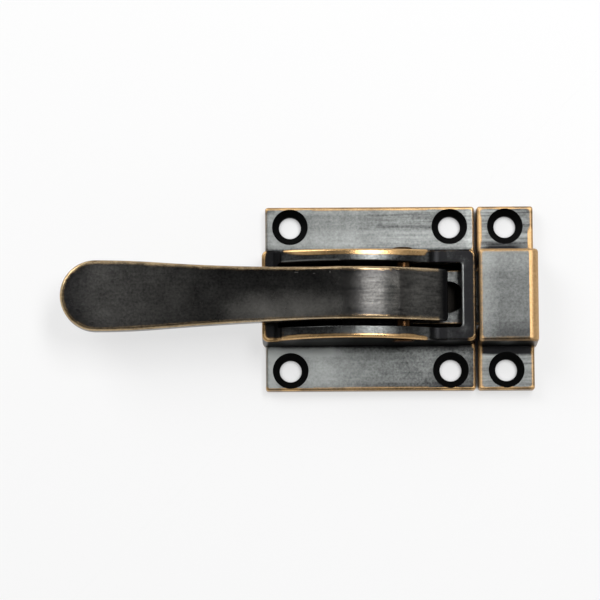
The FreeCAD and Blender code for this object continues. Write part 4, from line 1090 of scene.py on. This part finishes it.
LEVER_ZONES = (
    # the end over the bolt stays dark
    Zone((13.4, -6.0, 4.0), (15.0, 6.0, 12.0), (1.4, 0.5, 0.5), tone=-0.05, rub=UNWORN),
    # painted sheen on the paddle behind its tip, and painted shade on the tip
    Zone((-56.5, -7.0, 5.0), (-53.0, 7.0, 14.0), (5.0, 1.0, 1.0), tone=-0.06),
    Zone((-47.0, -7.0, 5.0), (-36.0, 7.0, 14.0), (6.0, 1.0, 1.0), tone=0.04),
    # along the neck a painted sheen makes the lower half paler than the upper half
    Zone((-19.0, -5.5, 8.0), (-12.0, -3.2, 14.0), (10.0, 4.8, 2.0), tone=0.54),
    Zone((-26.0, 1.8, 8.0), (-14.0, 5.0, 14.0), (8.0, 2.5, 2.0), tone=-0.05),
    # the crown is smooth from handling
    Zone((-4.0, -5.0, 8.0), (5.5, 5.0, 14.0), (2.5, 0.5, 1.0), tone=-0.03, lines=0.3,
         polish=0.06),
    # paler down the front, with lines from the polishing
    Zone((5.0, -5.0, 5.0), (11.5, 5.0, 14.0), (2.0, 0.5, 1.0), tone=0.2, lines=0.4),
    # three small nicks
    Zone((-13.6, 3.7, 10.0), (-13.1, 3.75, 14.0), (0.15, 0.12, 1.0), tone=0.4),
    Zone((-10.3, 3.45, 10.0), (-10.1, 3.5, 14.0), (0.15, 0.12, 1.0), tone=0.5),
    Zone((-7.4, 3.6, 10.0), (-7.3, 3.75, 14.0), (0.12, 0.15, 1.0), tone=0.5),
)
BOLT_ZONES = (
    # neither the slot nor the end inside the housing is rubbed
    Zone((4.0, -3.4, 0.0), (17.5, 3.4, 5.0), (0.4, 0.3, 0.5), rub=UNWORN),
    Zone((-6.0, -6.0, 0.0), (6.0, 6.0, 5.0), (2.0, 0.3, 0.5), tone=-0.15, rub=UNWORN),
)

CASE_FINISH = PatinatedBrass(
    "patinated_cast_brass_case", tone=0.26, gold_bright="#e4c291", gold_roughness=0.34,
    zones=CASE_ZONES)
# The strike has no rim shade, because the hollow in its box would show through as a dark middle
STRIKE_FINISH = PatinatedBrass(
    "patinated_cast_brass_strike", tone=0.21, cloud=0.12, brush=0.1, speckle=0.42, rim_shade=0.0,
    gold_deep="#9c784a", gold_bright="#d8b688", gold_roughness=0.48, zones=STRIKE_ZONES)
LEVER_FINISH = PatinatedBrass(
    "blackened_cast_brass_lever", light="#9d9b96", brown="#80633b", gold_deep="#d2aa6a",
    gold_bright="#f8e6c4", tone=0.11, cloud=0.2, brush=0.12, speckle=0.48, rim_shade=0.1,
    roughness=0.29, wear_width=0.68, wear_start=0.07, wear_full=0.16, film_reach=0.035,
    pit_depth=0.006, zones=LEVER_ZONES)
BOLT_FINISH = PatinatedBrass(
    "worn_milled_brass_bolt", tone=0.3, rim_shade=0.2, wear_width=0.5, zones=BOLT_ZONES)
PIN_FINISH = BareMetal("drawn_brass_pin", "#513822", "#19130e", 0.32, 0.3, (1.0, 0.05, 1.0))
# the back cover is painted near black, as the shade deep in the slot
COVER_FINISH = BareMetal("brass_sheet_painted_shade", "#1d1b19", "#0f0e0d", 0.5, 0.35)


def main() -> None:
    """Build the pieces in order, then the studio, and report each one."""
    bpy.context.scene.view_settings.view_transform = "Standard"
    pieces: List[Union[SolidPiece, CoverRivets, BoltSpring]] = [
        DrilledPiece("latch_case", Body.CASE, Slot.CASE, CASE_FINISH, holes=CASE_HOLES),
        DrilledPiece("strike", Body.CASE, Slot.CASE, STRIKE_FINISH, holes=STRIKE_HOLES),
        SolidPiece("back_cover", Body.CASE, Slot.COVER, COVER_FINISH),
        CoverRivets(),
        SolidPiece("pivot_pin", Body.CASE, Slot.PIN, PIN_FINISH),
        BoltSpring(),
        SolidPiece("latch_bolt", Body.BOLT, Slot.BOLT, BOLT_FINISH),
        SolidPiece("lever_handle", Body.LEVER, Slot.LEVER, LEVER_FINISH),
    ]
    for part in pieces:
        part.build()
        part.dress()
        log.info("%s: %d faces", part.piece.name, len(part.piece.data.polygons))
    Studio().build()
    log.info("studio: floor, softbox, window, room and camera")


if __name__ == "__main__":
    logging.basicConfig(level=logging.INFO, format="%(name)s: %(message)s")
    main()
